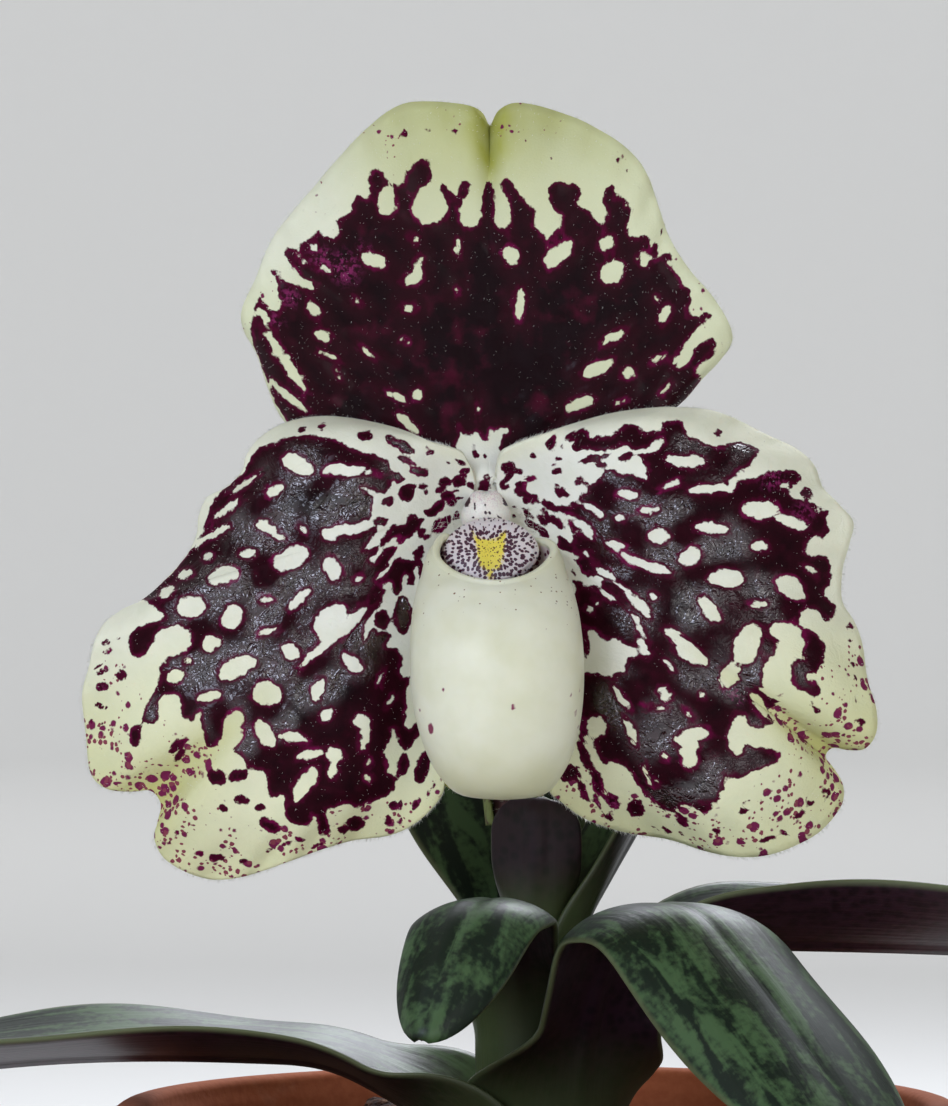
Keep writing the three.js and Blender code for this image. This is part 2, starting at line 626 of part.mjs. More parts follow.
function pouchGeometry() {
  const sides = 24;
  const levels = 10;
  const ring = (share, inset) =>
    Array.from({ length: sides }, (_, j) => {
      const turn = (2 * Math.PI * j) / sides;
      return pouchPoint(share * mouthAt(turn), turn, inset);
    });
  const shares = Array.from({ length: levels }, (_, k) => (k + 1) / levels);
  const outer = shares.map((share) => ring(share, 0));
  const lip = ring(1, POUCH_WALL / 2).map((p) => p.setZ(p.z + POUCH_WALL / 3));
  const inner = shares.reverse().map((share) => ring(share, POUCH_WALL));
  const lowest = new THREE.Vector3(POUCH_LEVELS[0][4], -POUCH_LEVELS[0][2], POUCH_LEVELS[0][0]);
  const floor = lowest.clone().setZ(lowest.z + POUCH_WALL);
  return ringed([[lowest], ...outer, lip, ...inner, [floor]]);
}

// ---------------------------------------------------------------- column

// The column is a stout rod with a rounded nose, with the stigma under it. Its middle lies a little to the left.
const COLUMN_SHIFT = -0.4;
const COLUMN_HALF_WIDTH = 2.45;
const COLUMN_HALF_HEIGHT = 1.9;
const COLUMN_BACK = -4.1; // how far forward it starts
const COLUMN_FRONT = 4.3; // and ends
const COLUMN_LIFT = 1.2; // height of its middle line

function columnGeometry() {
  const length = COLUMN_FRONT - COLUMN_BACK;
  const rod = new THREE.CapsuleGeometry(1, length / 2 - 2, 3, 14)
    .scale(COLUMN_HALF_WIDTH, 2, COLUMN_HALF_HEIGHT)
    .translate(COLUMN_SHIFT, -(COLUMN_BACK + COLUMN_FRONT) / 2, COLUMN_LIFT);
  const stigma = new THREE.SphereGeometry(1, 10, 6).scale(1, 1.2, 0.7).translate(COLUMN_SHIFT, -1.6, -0.7);
  return geometryFrom(solidOf(rod).add(solidOf(stigma)));
}

// The two anthers sit under the column, one on each side.
const ANTHER_RADIUS = 0.6;

function antherGeometry(side) {
  const aside = COLUMN_SHIFT + side * 1.75;
  return new THREE.SphereGeometry(ANTHER_RADIUS, 10, 6).translate(aside, -1.1, -1.1);
}

// The shield in front of the column: wider than tall, domed, and leaning forward at its foot.
const SHIELD_HALF_WIDTH = 4.9;
const SHIELD_UP = 3.1;
const SHIELD_DOWN = 3.2;

function shieldGeometry() {
  const rings = 4;
  const sides = 22;
  const point = (share, k, offset) => {
    const angle = (2 * Math.PI * k) / sides;
    const pull = Math.cos(angle) ** 2;
    const x = 0.35 + SHIELD_HALF_WIDTH * share * Math.sin(angle) * (1 - 0.12 * pull);
    const z = -3.1 + (Math.cos(angle) > 0 ? SHIELD_UP : SHIELD_DOWN) * share * Math.cos(angle);
    const depth = 6.7 - 0.58 * (z + 3.1) + 1.1 * (1 - share * share);
    return new THREE.Vector3(x, -(depth + offset), z);
  };
  const ring = (share, offset) => Array.from({ length: sides }, (_, k) => point(share, k, offset));
  const shares = Array.from({ length: rings }, (_, k) => (k + 1) / rings);
  return ringed([
    [point(0, 0, 0.45)],
    ...shares.map((share) => ring(share, 0.45)),
    ...shares.reverse().map((share) => ring(share, -0.45)),
    [point(0, 0, -0.45)],
  ]);
}

// ---------------------------------------------------------------- the whole plant

add(plant, "pot", clayPot(), CLAY);
add(plant, "bark_mix", barkMix(), BARK);
add(plant, "rootstock", rootstock(0), ROOT);

const crown = new THREE.Group();
crown.position.z = CROWN_FOOT;
plant.add(crown);
LEAVES.forEach((leaf, order) => {
  const mesh = add(crown, leaf.name, leafGeometry(leaf, order), LEAF_GREEN);
  mesh.rotation.z = THREE.MathUtils.degToRad(leaf.turn);
});

add(plant, "stem", stalk(stemCurve, 12, 10, () => STEM_RADIUS), STEM_PURPLE);
add(plant, "ovary", stalk(ovaryCurve, 14, 18, ovaryRadius), STEM_PURPLE);
add(plant, "bract", bractGeometry(), BRACT_GREEN);

const bloom = new THREE.Group();
bloom.position.copy(BLOOM);
plant.add(bloom);
add(bloom, "dorsal_sepal", petalGeometry(DORSAL_CLAW, DORSAL_OUTLINE, dorsalDepth, 7, 38), SPOTTED_PETAL);
add(bloom, "lower_sepal", petalGeometry(LOWER_CLAW, LOWER_OUTLINE, lowerDepth, 6, 16), CREAM_SEPAL);
add(bloom, "petal_left", petalGeometry(LEFT_CLAW, LEFT_OUTLINE, leftDepth, 8, 42), SPOTTED_PETAL);
add(bloom, "petal_right", petalGeometry(RIGHT_CLAW, RIGHT_OUTLINE, rightDepth, 8, 42), SPOTTED_PETAL);
add(bloom, "pouch", pouchGeometry(), CREAM_POUCH);
add(bloom, "column", columnGeometry(), CREAM_SEPAL);
add(bloom, "shield", shieldGeometry(), SPOTTED_SHIELD);
add(bloom, "anther_left", antherGeometry(-1), ANTHER_YELLOW);
add(bloom, "anther_right", antherGeometry(1), ANTHER_YELLOW);

export default plant;
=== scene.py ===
# A slipper orchid in flower, growing in a plain clay pot. Sizes below are millimetres unless a name says
# otherwise; the pieces are made in metres, +Z up, with the bloom facing -Y, as the frame holds them.
import functools
import math

import bmesh
import bpy
import numpy as np
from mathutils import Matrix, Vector


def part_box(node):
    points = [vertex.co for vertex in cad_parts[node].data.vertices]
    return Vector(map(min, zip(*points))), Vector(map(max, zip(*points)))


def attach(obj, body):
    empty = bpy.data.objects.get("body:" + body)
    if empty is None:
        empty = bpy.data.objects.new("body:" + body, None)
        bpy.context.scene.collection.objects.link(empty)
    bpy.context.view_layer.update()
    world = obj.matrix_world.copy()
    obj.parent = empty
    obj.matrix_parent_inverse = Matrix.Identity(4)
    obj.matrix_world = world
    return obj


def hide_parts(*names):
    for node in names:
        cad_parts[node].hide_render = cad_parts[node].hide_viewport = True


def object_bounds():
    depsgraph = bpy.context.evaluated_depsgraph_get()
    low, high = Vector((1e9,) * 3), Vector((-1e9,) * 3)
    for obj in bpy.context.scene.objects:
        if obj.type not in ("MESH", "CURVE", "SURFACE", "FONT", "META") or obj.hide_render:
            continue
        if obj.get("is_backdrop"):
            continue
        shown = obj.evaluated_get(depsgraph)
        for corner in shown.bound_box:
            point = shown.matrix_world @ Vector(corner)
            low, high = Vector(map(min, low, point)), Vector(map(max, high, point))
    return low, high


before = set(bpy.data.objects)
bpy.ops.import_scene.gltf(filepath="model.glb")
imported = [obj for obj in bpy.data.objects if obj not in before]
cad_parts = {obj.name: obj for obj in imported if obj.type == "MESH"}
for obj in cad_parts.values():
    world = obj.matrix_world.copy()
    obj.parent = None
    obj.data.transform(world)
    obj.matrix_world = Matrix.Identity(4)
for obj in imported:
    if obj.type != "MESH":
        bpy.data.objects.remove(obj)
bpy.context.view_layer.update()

MM = 0.001

# ---------------------------------------------------------------- clay pot
# A thrown flowerpot of unglazed red earthenware: a tapered wall, a thick collar and three drain holes.
# Watering has drawn pale salts out through the wall, most of all near the foot.


def linear(colour):
    """An sRGB hex colour as linear red, green, blue and full alpha."""
    parts = [int(colour[i : i + 2], 16) / 255 for i in (1, 3, 5)]
    return (*[p / 12.92 if p <= 0.04045 else ((p + 0.055) / 1.055) ** 2.4 for p in parts], 1.0)


def add_node(finish, kind, inputs=None, out=0, **settings):
    """Add one node, or take the one given, set its properties, and fill its inputs with values or with other
    nodes' outputs. Returns its output `out`, or the node itself where out is None."""
    node = finish.node_tree.nodes.new("ShaderNode" + kind) if isinstance(kind, str) else kind
    for name, value in settings.items():
        setattr(node, name, value)
    for socket, value in (inputs or {}).items():
        if isinstance(value, bpy.types.NodeSocket):
            finish.node_tree.links.new(value, node.inputs[socket])
        else:
            node.inputs[socket].default_value = value
    return node if out is None else node.outputs[out]


def new_finish(name):
    """A material of one Principled shader wired to the output. Returns it, its add_node and the shader."""
    finish = bpy.data.materials.new(name)
    finish.use_nodes = True
    finish.node_tree.nodes.clear()
    add = functools.partial(add_node, finish)
    shader = add("BsdfPrincipled", out=None)
    add("OutputMaterial", {"Surface": shader.outputs["BSDF"]}, out=None)
    return finish, add, shader


def make_piece(name, points, faces, finish, **marks):
    """A smooth mesh piece from points in millimetres and its faces. Each of marks is one number per point."""
    mesh = bpy.data.meshes.new(name)
    mesh.from_pydata((np.asarray(points) * MM).tolist(), [], faces)
    for mark, numbers in marks.items():
        layer = mesh.attributes.new(mark, "FLOAT", "POINT")
        layer.data.foreach_set("value", np.asarray(numbers, dtype=np.float32).ravel())
    mesh.polygons.foreach_set("use_smooth", np.ones(len(mesh.polygons), dtype=bool))
    mesh.materials.append(finish)
    piece = bpy.data.objects.new(name, mesh)
    bpy.context.scene.collection.objects.link(piece)
    return piece


def swells(places, size, seed, waves=14):
    """A smooth random height of about -1 to 1: a sum of plane waves about `size` long, in random directions.
    Each wave is as long as size times 0.7 to 1.6."""
    rng = np.random.default_rng(seed)
    ways = rng.normal(size=(waves, places.shape[-1]))
    lengths = size * rng.uniform(0.7, 1.6, (waves, 1))
    ways *= 2 * np.pi / (lengths * np.linalg.norm(ways, axis=1, keepdims=True))
    phases = rng.uniform(0, 2 * np.pi, waves)
    return np.sin(places @ ways.T + phases).sum(-1) / math.sqrt(waves)


def smooth(low, high, x):
    """0 below low, 1 above high, and the even S-curve 3t^2 - 2t^3 between them."""
    t = np.clip((np.asarray(x, dtype=float) - low) / (high - low), 0, 1)
    return t * t * (3 - 2 * t)


def bell(x, width):
    """1 at x = 0, falling away as exp(-(x/width)^2)."""
    return np.exp(-((np.asarray(x) / width) ** 2))


def ringed_skin(rings, start, end):
    """A closed skin over rings (K, N, 3), each going round once, that ends in the points start and end."""
    count, sides = rings.shape[:2]
    points = np.concatenate([[start], rings.reshape(-1, 3), [end]])
    j = np.arange(sides)
    after = (j + 1) % sides
    row = 1 + sides * np.arange(count - 1)[:, None]
    quads = np.stack([row + j, row + after, row + sides + after, row + sides + j], -1).reshape(-1, 4)
    last = 1 + sides * (count - 1)
    foot = np.stack([np.zeros(sides, dtype=int), 1 + after, 1 + j], -1)
    head = np.stack([np.full(sides, len(points) - 1), last + j, last + after], -1)
    return points, quads.tolist() + foot.tolist() + head.tolist()


def eased_corners(profile, reach, steps=5):
    """The profile with each inner corner cut back by reach and bridged by a parabola of `steps` points."""
    profile = np.asarray(profile, dtype=float)
    eased = [profile[:1]]
    t = np.linspace(0, 1, steps)[:, None]
    for before, corner, after in zip(profile, profile[1:], profile[2:]):
        back, on = before - corner, after - corner
        a = corner + back * min(0.45, reach / np.linalg.norm(back))
        b = corner + on * min(0.45, reach / np.linalg.norm(on))
        eased.append((1 - t) ** 2 * a + 2 * t * (1 - t) * corner + t**2 * b)
    return np.concatenate([*eased, profile[-1:]])


POT_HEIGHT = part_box("pot")[1].z / MM
RIM_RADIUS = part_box("pot")[1].x / MM
FOOT_RADIUS = 30
COLLAR_FOOT = POT_HEIGHT - 18
WALL_RADIUS = RIM_RADIUS - 4.5
WALL = 5
DRAIN_RADIUS, DRAIN_CIRCLE = 3.5, 15
POT_SIDES = 144

pot_profile = eased_corners(
    [
        [0, 0], [FOOT_RADIUS - 1.0, 0], [FOOT_RADIUS, 1.2], [WALL_RADIUS, COLLAR_FOOT],
        [RIM_RADIUS - 0.7, COLLAR_FOOT + 0.6], [RIM_RADIUS, POT_HEIGHT - 2], [RIM_RADIUS - 1.8, POT_HEIGHT],
        [RIM_RADIUS - WALL + 0.8, POT_HEIGHT], [RIM_RADIUS - WALL, POT_HEIGHT - 1.6],
        [WALL_RADIUS - WALL + 2, COLLAR_FOOT], [FOOT_RADIUS - 2, 9], [FOOT_RADIUS - 5, 6], [0, 6],
    ],
    reach=1.1,
)
turns = np.linspace(0, 2 * np.pi, POT_SIDES, endpoint=False)


def thrown(profile):
    """The profile [radius, height] turned round the axis, with throwing rings 2.6 mm apart and a wobble."""
    radius, height = profile[:, :1], profile[:, 1:]
    rings = 0.10 * np.sin(2 * np.pi * height / 2.6) + 0.14 * np.sin(2 * turns + height / 19)
    spread = radius + rings * smooth(20, 28, radius) * smooth(2, 6, height)
    return np.stack([spread * np.cos(turns), spread * np.sin(turns), height + 0 * turns], -1)


def even_steps(profile, step):
    """The profile with points added so that none are further apart than step."""
    spans = np.linalg.norm(np.diff(profile, axis=0), axis=1)
    cuts = [np.linspace(a, b, max(1, math.ceil(s / step)), endpoint=False)
            for a, b, s in zip(profile, profile[1:], spans)]
    return np.concatenate([*cuts, profile[-1:]])


pot_steps = even_steps(pot_profile, 1.6)
COLOURS = {"data_type": "RGBA", "out": 2}  # settings of a Mix node that blends colours
EASED = {"interpolation_type": "SMOOTHSTEP"}  # and of a Map Range node with soft ends
earthenware, add, shader = new_finish("Unglazed red earthenware")
place = add("TexCoord", out="Object")
CLAY_GRAIN = 0.9  # mm, grog in the clay body
SALT_PATCH = 13  # mm, blooms of salt
cloud = add("TexNoise", {"Vector": place, "Scale": 1 / (SALT_PATCH * MM), "Detail": 5.0})
grain = add("TexNoise", {"Vector": place, "Scale": 1 / (CLAY_GRAIN * MM), "Detail": 3.0})
height = add("SeparateXYZ", {0: place}, out="Z")
damp = add("MapRange", {"Value": height, "From Min": 0.0, "From Max": 0.03, "To Min": 0.20, "To Max": 0.0})
salt = add("Math", {0: cloud, 1: damp}, operation="ADD")
salt = add("MapRange", {"Value": salt, "From Min": 0.57, "From Max": 0.86}, **EASED)
body = add("Mix", {0: grain, 6: linear("#9f5334"), 7: linear("#c0714b")}, **COLOURS)
coated = add("Mix", {0: salt, 6: body, 7: linear("#cfb39c")}, **COLOURS)
relief = add("Bump", {"Height": grain, "Strength": 0.5, "Distance": 0.15 * MM})
add(shader, {"Base Color": coated, "Normal": relief, "Roughness": 0.88, "Specular IOR Level": 0.3})

rings = thrown(pot_steps[1:-1])
points, faces = ringed_skin(rings, [0, 0, 0], [0, 0, pot_steps[-1, 1]])
pot = make_piece("clay_pot", points, faces, earthenware)
for k in range(3):
    angle = 2 * math.pi * (k + 0.5) / 3
    bore = np.stack([DRAIN_RADIUS * np.cos(turns[::3]), DRAIN_RADIUS * np.sin(turns[::3])], -1)
    bore += DRAIN_CIRCLE * np.array([math.cos(angle), math.sin(angle)])
    levels = [np.column_stack([bore, np.full(len(bore), z)]) for z in (-4, 12)]
    points, faces = ringed_skin(np.array(levels), [*bore.mean(0), -4], [*bore.mean(0), 12])
    cutter = make_piece("drain_bore", points, faces, earthenware)
    cut = pot.modifiers.new("drain", "BOOLEAN")
    cut.object, cut.operation, cut.solver = cutter, "DIFFERENCE", "EXACT"
    drilled = bpy.data.meshes.new_from_object(pot.evaluated_get(bpy.context.evaluated_depsgraph_get()))
    pot.modifiers.clear()
    pot.data = drilled
    bpy.data.objects.remove(cutter)
welded = bmesh.new()
welded.from_mesh(pot.data)
bmesh.ops.remove_doubles(welded, verts=welded.verts, dist=0.005 * MM)
bmesh.ops.holes_fill(welded, edges=welded.edges, sides=4)  # the drilling can leave one strip of a bore out
bmesh.ops.recalc_face_normals(welded, faces=welded.faces)
welded.to_mesh(pot.data)
welded.free()
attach(pot, "root")
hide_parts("pot")

# ---------------------------------------------------------------- bark mix
# Orchid bark: chunky chips of pine bark that fill the pot, with finer crumbs between them. Each chip is the
# frame's own chip, weathered: its faces are worn round and split along the grain.

BARK_VOXEL = 0.85
bark_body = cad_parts["bark_mix"].data.copy()
bark = bpy.data.objects.new("bark_chips", bark_body)
bpy.context.scene.collection.objects.link(bark)
remesh = bark.modifiers.new("voxels", "REMESH")
remesh.mode, remesh.voxel_size = "VOXEL", BARK_VOXEL * MM
weathered = bpy.data.meshes.new_from_object(bark.evaluated_get(bpy.context.evaluated_depsgraph_get()))
bark.modifiers.clear()
bark.data = weathered


def weather(mesh):
    """Moves each point along its normal: a 5 mm swell, a 1.6 mm grain and pits, less by the pot's wall."""
    places, normals = np.empty(3 * len(mesh.vertices)), np.empty(3 * len(mesh.vertices))
    mesh.vertices.foreach_get("co", places)
    mesh.vertices.foreach_get("normal", normals)
    places, normals = places.reshape(-1, 3) / MM, normals.reshape(-1, 3)
    upper = smooth(58, 64, places[:, 2]) * smooth(38.4, 37.4, np.hypot(places[:, 0], places[:, 1]))
    height = 0.25 * swells(places, 5, 71) + 0.22 * swells(places * [1, 1, 2.2], 1.8, 72) - 0.35
    places += normals * (upper * height)[:, None]
    mesh.vertices.foreach_set("co", (places * MM).ravel())
    mesh.polygons.foreach_set("use_smooth", np.ones(len(mesh.polygons), dtype=bool))
    mesh.update()


weather(weathered)
pine_bark, add, shader = new_finish("Pine bark, split and damp")
place = add("TexCoord", out="Object")
CHIP, LAYER, CRUMB = 9, 0.7, 1.4  # mm: a chip, the layers in it, and the crumbs and dust on it
chips = add("TexVoronoi", {"Vector": place, "Scale": 1 / (CHIP * MM)})
tone = add("SeparateColor", {0: chips.node.outputs["Color"]})
layers = add("TexWave", {"Vector": place, "Scale": 1 / (6 * LAYER * MM), "Distortion": 9.0, "Detail": 3.0,
                         "Detail Scale": 1.5}, bands_direction="Z")
crumbs = add("TexNoise", {"Vector": place, "Scale": 1 / (CRUMB * MM), "Detail": 6.0})
wood = add("Mix", {0: tone, 6: linear("#4a2b1a"), 7: linear("#8a5a38")}, **COLOURS)
split = add("Mix", {0: layers, 6: linear("#33201a"), 7: wood}, **COLOURS)
dust = add("MapRange", {"Value": crumbs, "From Min": 0.55, "From Max": 0.75})
dusty = add("Mix", {0: dust, 6: split, 7: linear("#a5805c")}, **COLOURS)
relief = add("Bump", {"Height": layers, "Strength": 0.7, "Distance": 0.5 * MM})
relief = add("Bump", {"Height": crumbs, "Strength": 0.8, "Distance": 0.4 * MM, "Normal": relief})
add(shader, {"Base Color": dusty, "Normal": relief, "Roughness": 0.9, "Specular IOR Level": 0.25})
bark.data.materials.clear()
bark.data.materials.append(pine_bark)
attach(bark, "root")
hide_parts("bark_mix")

# ---------------------------------------------------------------- rootstock
# The short woody stem base with its thick roots, sheathed in felted tissue that holds water. It stays buried
# in the bark, so the frame's own solid keeps its place with this finish.

root_felt, add, shader = new_finish("Felted root tissue")
place = add("TexCoord", out="Object")
FELT = 1.1  # mm, tufts of the felt
felt = add("TexNoise", {"Vector": place, "Scale": 1 / (FELT * MM), "Detail": 4.0})
tint = add("Mix", {0: felt, 6: linear("#7a6548"), 7: linear("#b9a57f")}, **COLOURS)
relief = add("Bump", {"Height": felt, "Strength": 0.6, "Distance": 0.3 * MM})
add(shader, {"Base Color": tint, "Normal": relief, "Roughness": 0.9})
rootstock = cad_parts["rootstock"]
rootstock.data.materials.clear()
rootstock.data.materials.append(root_felt)

# ---------------------------------------------------------------- leaves
# Leathery leaves, in two ranks, whose sheathing bases nest round the stem. Above they are dark green with a
# silvery net, below purple with dense spots, and both colours are made darker still with painted shade; the
# midrib is a groove above and a keel below.

CROWN_FOOT = 63
SHEATH_INNER, SHEATH_STEP, SHEATH_WRAP = 2.65, 1.15, 1.72
# The innermost leaf comes first. headings are [length, degrees from upright]; folds are the blade's slopes
# either side of the rib and at its margins, in degrees.
LEAVES = {
    "leaf_heart": dict(turn=-95, length=43.5, neck=4.6, width=9.8, sheath=29, opening=9, tip=0.72,
                       headings=[[0, 0], [28, 1], [43.5, 5]], lean=0, roll=0, folds=[4, 30]),
    "leaf_right_upright": dict(turn=14, length=66, neck=3.6, width=15, sheath=25, opening=18, tip=0.5,
                               headings=[[0, 0], [24, 1], [34, 28], [50, 32], [66, 50]], lean=0, roll=0,
                               folds=[10, 34]),
    "leaf_left_upright": dict(turn=86, length=76, neck=4.2, width=20, sheath=15, opening=14, tip=0.5,
                              headings=[[0, 0], [14, 2], [30, 18], [56, 26], [76, 50]], lean=23, roll=0,
                              folds=[10, 26]),
    "leaf_left_front": dict(turn=256, length=60, neck=4.4, width=14.5, sheath=18, opening=12, tip=0.45,
                            headings=[[0, 0], [17, 1], [31, 36], [39, 90], [48, 136], [60, 152]], lean=-9,
                            roll=0, folds=[2, -50]),
    "leaf_right": dict(turn=2, length=112, neck=11.5, width=28, sheath=8, opening=24, tip=0.5,
                       headings=[[0, 0], [13, 3], [26, 46], [37, 91], [70, 93], [112, 122]], lean=0, roll=-3,
                       folds=[14, 39]),
    "leaf_right_front": dict(turn=-62, length=90, neck=7.4, width=23.5, sheath=8, opening=14, tip=0.5,
                             headings=[[0, 0], [8, 1], [27, 28], [41, 88], [52, 124], [90, 132]], lean=4,
                             roll=0, folds=[4, -42]),
    "leaf_left": dict(turn=176, length=108, neck=12, width=31, sheath=3, opening=16, tip=0.5,
                      headings=[[0, 0], [3, 4], [15, 58], [28, 88], [70, 98], [108, 118]], lean=4, roll=0,
                      folds=[8, 18]),
}
LEAF_ROWS, LEAF_COLUMNS = 134, 41


def sheet_skin(middle, thickness, every=1):
    """A closed thin sheet: the grid middle (R, C, 3), moved half the thickness along its normal to each side.
    The far side keeps one row in `every`. Also gives the normals."""
    normal = np.cross(np.gradient(middle, axis=0), np.gradient(middle, axis=1))
    normal /= np.linalg.norm(normal, axis=-1, keepdims=True) + 1e-12
    half = normal * thickness[..., None] / 2
    near, far = middle + half, (middle - half)[::every]
    points = np.concatenate([near.reshape(-1, 3), far.reshape(-1, 3)])
    top = np.arange(near[..., 0].size).reshape(near.shape[:2])
    low = top.size + np.arange(far[..., 0].size).reshape(far.shape[:2])

    def quads(at):
        return np.stack([at[:-1, :-1], at[1:, :-1], at[1:, 1:], at[:-1, 1:]], -1).reshape(-1, 4)

    start = np.stack([top[0, :-1], top[0, 1:], low[0, 1:], low[0, :-1]], -1)
    end = np.stack([top[-1, 1:], top[-1, :-1], low[-1, :-1], low[-1, 1:]], -1)
    steps = every * np.arange(len(far) - 1)[:, None] + np.arange(every + 1)
    left = np.column_stack([top[steps[:, ::-1], 0], low[:-1, 0], low[1:, 0]])
    right = np.column_stack([top[steps, -1], low[1:, -1], low[:-1, -1]])
    faces = [quads(top), quads(low)[:, ::-1], start, end, left, right]
    return points, [face for part in faces for face in part.tolist()], normal


def both_sides(mark, every=1):
    """A mark of the grid, given to the points of both sides of such a sheet."""
    return np.concatenate([mark.ravel(), mark[::every].ravel()])


def leaf_rib(leaf, radius, steps=400):
    """The midrib as points with the directions across the blade and up from it: its heading turns evenly from
    one of headings to the next, and lean and roll come in over the 30 mm above the sheath."""
    length = np.linspace(0, leaf["length"], steps + 1)
    ends, angles = np.array(leaf["headings"]).T
    k = np.clip(np.searchsorted(ends, length, side="left"), 1, len(ends) - 1)
    share = (length - ends[k - 1]) / (ends[k] - ends[k - 1])
    heading = angles[k - 1] + (angles[k] - angles[k - 1]) * smooth(0, 1, share)
    heading = np.radians(heading)
    onset = smooth(leaf["sheath"], leaf["sheath"] + 30, length)
    lean, roll = math.radians(leaf["lean"]) * onset[:, None], math.radians(leaf["roll"]) * onset[:, None]
    rise = np.stack([np.sin(heading), 0 * heading, np.cos(heading)], -1)
    side = np.array([0.0, 1.0, 0.0])
    forward = rise * np.cos(lean) + side * np.sin(lean)
    across = side * np.cos(lean) - rise * np.sin(lean)
    up = np.cross(forward, across)
    step = leaf["length"] / steps
    point = np.array([radius, 0, 0]) + np.concatenate([[[0, 0, 0]], np.cumsum(forward[:-1] * step, axis=0)])
    return length, point, across * np.cos(roll) + up * np.sin(roll), up * np.cos(roll) - across * np.sin(roll)


def leaf_blade(leaf, order):
    """The leaf's middle as a grid, its thickness, how far open it is, and its lengths along and across.
    Either half is an arc whose slope changes evenly from the rib to the margin, closed into a tube in the
    sheath; the width follows sqrt(1 - share^2.4) to the tip."""
    u, v = np.meshgrid(np.linspace(0, 1, LEAF_ROWS), np.linspace(0, 1, LEAF_COLUMNS), indexing="ij")
    radius = SHEATH_INNER + SHEATH_STEP * order
    length = leaf["length"] * u**1.15
    opened = smooth(leaf["sheath"], leaf["sheath"] + leaf["opening"], length)
    share = (length - leaf["sheath"]) / (leaf["length"] - leaf["sheath"])
    narrowing = np.clip((share - leaf["tip"]) / (1 - leaf["tip"]), 0, 1) ** 2.4
    base = SHEATH_WRAP * radius * (1 - opened) + leaf["neck"] * opened
    body = base + (leaf["width"] / 2 - base) * smooth(0.1, 0.5, share)
    half_width = np.maximum(0.8, body * np.sqrt(1 - narrowing))
    at_rib = math.radians(leaf["folds"][0]) * opened
    at_margin = SHEATH_WRAP * (1 - opened) + math.radians(leaf["folds"][1]) * opened
    bend = (at_margin - at_rib) / half_width
    away = np.abs(2 * v - 1)
    slope = at_rib + bend * away * half_width
    sideways = (np.sin(slope) - np.sin(at_rib)) / bend
    upwards = (np.cos(at_rib) - np.cos(slope)) / bend
    ripple = 0.6 * opened * np.sin(0.17 * length + 2 * v) * away**2
    groove = -0.35 * opened * bell(away * half_width, 0.8) * (1 - smooth(0.9, 1, share))
    run, rib, across, up = leaf_rib(leaf, radius)

    def at(vectors):
        return np.stack([np.interp(length, run, column) for column in vectors.T], -1)

    middle = at(rib) + at(across) * (np.sign(2 * v - 1) * sideways)[..., None]
    middle += at(up) * (upwards + ripple + groove)[..., None]
    turn = math.radians(leaf["turn"])
    c, s = math.cos(turn), math.sin(turn)
    middle = middle @ np.array([[c, s, 0], [-s, c, 0], [0, 0, 1]]) + [0, 0, CROWN_FOOT]
    rounded = np.sqrt(1 - 0.9 * np.clip((away - 0.93) / 0.07, 0, 1) ** 2)
    rounded = rounded * np.sqrt(1 - 0.8 * smooth(0.985, 1, u))
    keel = 0.35 * opened * bell(away * half_width, 0.9)
    thickness = (0.8 + 0.2 * opened + keel) * (1 - 0.25 * away**3) * rounded
    return middle, thickness, opened, length, (2 * v - 1) * half_width, away


mottled_leaf, add, shader = new_finish("Leathery leaf, netted green above and purple below")
along, aside, side, sheathed, rim_mark = (
    add("Attribute", attribute_name=mark, out="Fac")
    for mark in ("along", "aside", "side", "sheathed", "margin")
)
NET = 4.6  # mm, the length of one pale patch of the net
spread = add("CombineXYZ", {0: along, 1: aside})
stretched = add("Mapping", {0: spread, 3: (0.26, 1.0, 1.0)})
patches = add("TexNoise", {"Vector": stretched, "Scale": 1 / (0.55 * NET), "Detail": 4.0,
                           "Distortion": 0.8})
tufts = add("TexNoise", {"Vector": spread, "Scale": 1 / 0.8, "Detail": 2.0})
netted = add("Math", {0: tufts, 1: 0.35, 2: patches}, operation="MULTIPLY_ADD")
pale = add("MapRange", {"Value": netted, "From Min": 0.60, "From Max": 0.82}, **EASED)
# Painted shade: the colours of both faces are the leaf's own green and purple made darker, as a leaf in shade
# looks.
above = add("Mix", {0: pale, 6: linear("#0b1b0d"), 7: linear("#425b38")}, **COLOURS)
freckles = add("TexVoronoi", {"Vector": spread, "Scale": 1 / 1.1}, out="Distance")
freckled = add("MapRange", {"Value": freckles, "From Min": 0.25, "From Max": 0.62})
below = add("Mix", {0: freckled, 6: linear("#13050d"), 7: linear("#26111c")}, **COLOURS)
face_up = add("MapRange", {"Value": side, "From Min": 0.3, "From Max": 0.7})
two_faced = add("Mix", {0: face_up, 6: below, 7: above}, **COLOURS)
edged = add("Mix", {0: rim_mark, 6: two_faced, 7: linear("#596040")}, **COLOURS)
based = add("Mix", {0: sheathed, 6: edged, 7: linear("#44502e")}, **COLOURS)
veins = add("TexNoise", {"Vector": add("Mapping", {0: spread, 3: (0.05, 1.0, 1.0)}), "Scale": 1.4,
                         "Detail": 2.0})
relief = add("Bump", {"Height": veins, "Strength": 0.5, "Distance": 0.12 * MM})
relief = add("Bump", {"Height": tufts, "Strength": 0.3, "Distance": 0.08 * MM, "Normal": relief})
add(shader, {"Base Color": based, "Normal": relief, "Roughness": 0.44, "Specular IOR Level": 0.33,
             "Subsurface Weight": 0.05, "Subsurface Scale": 0.5 * MM})

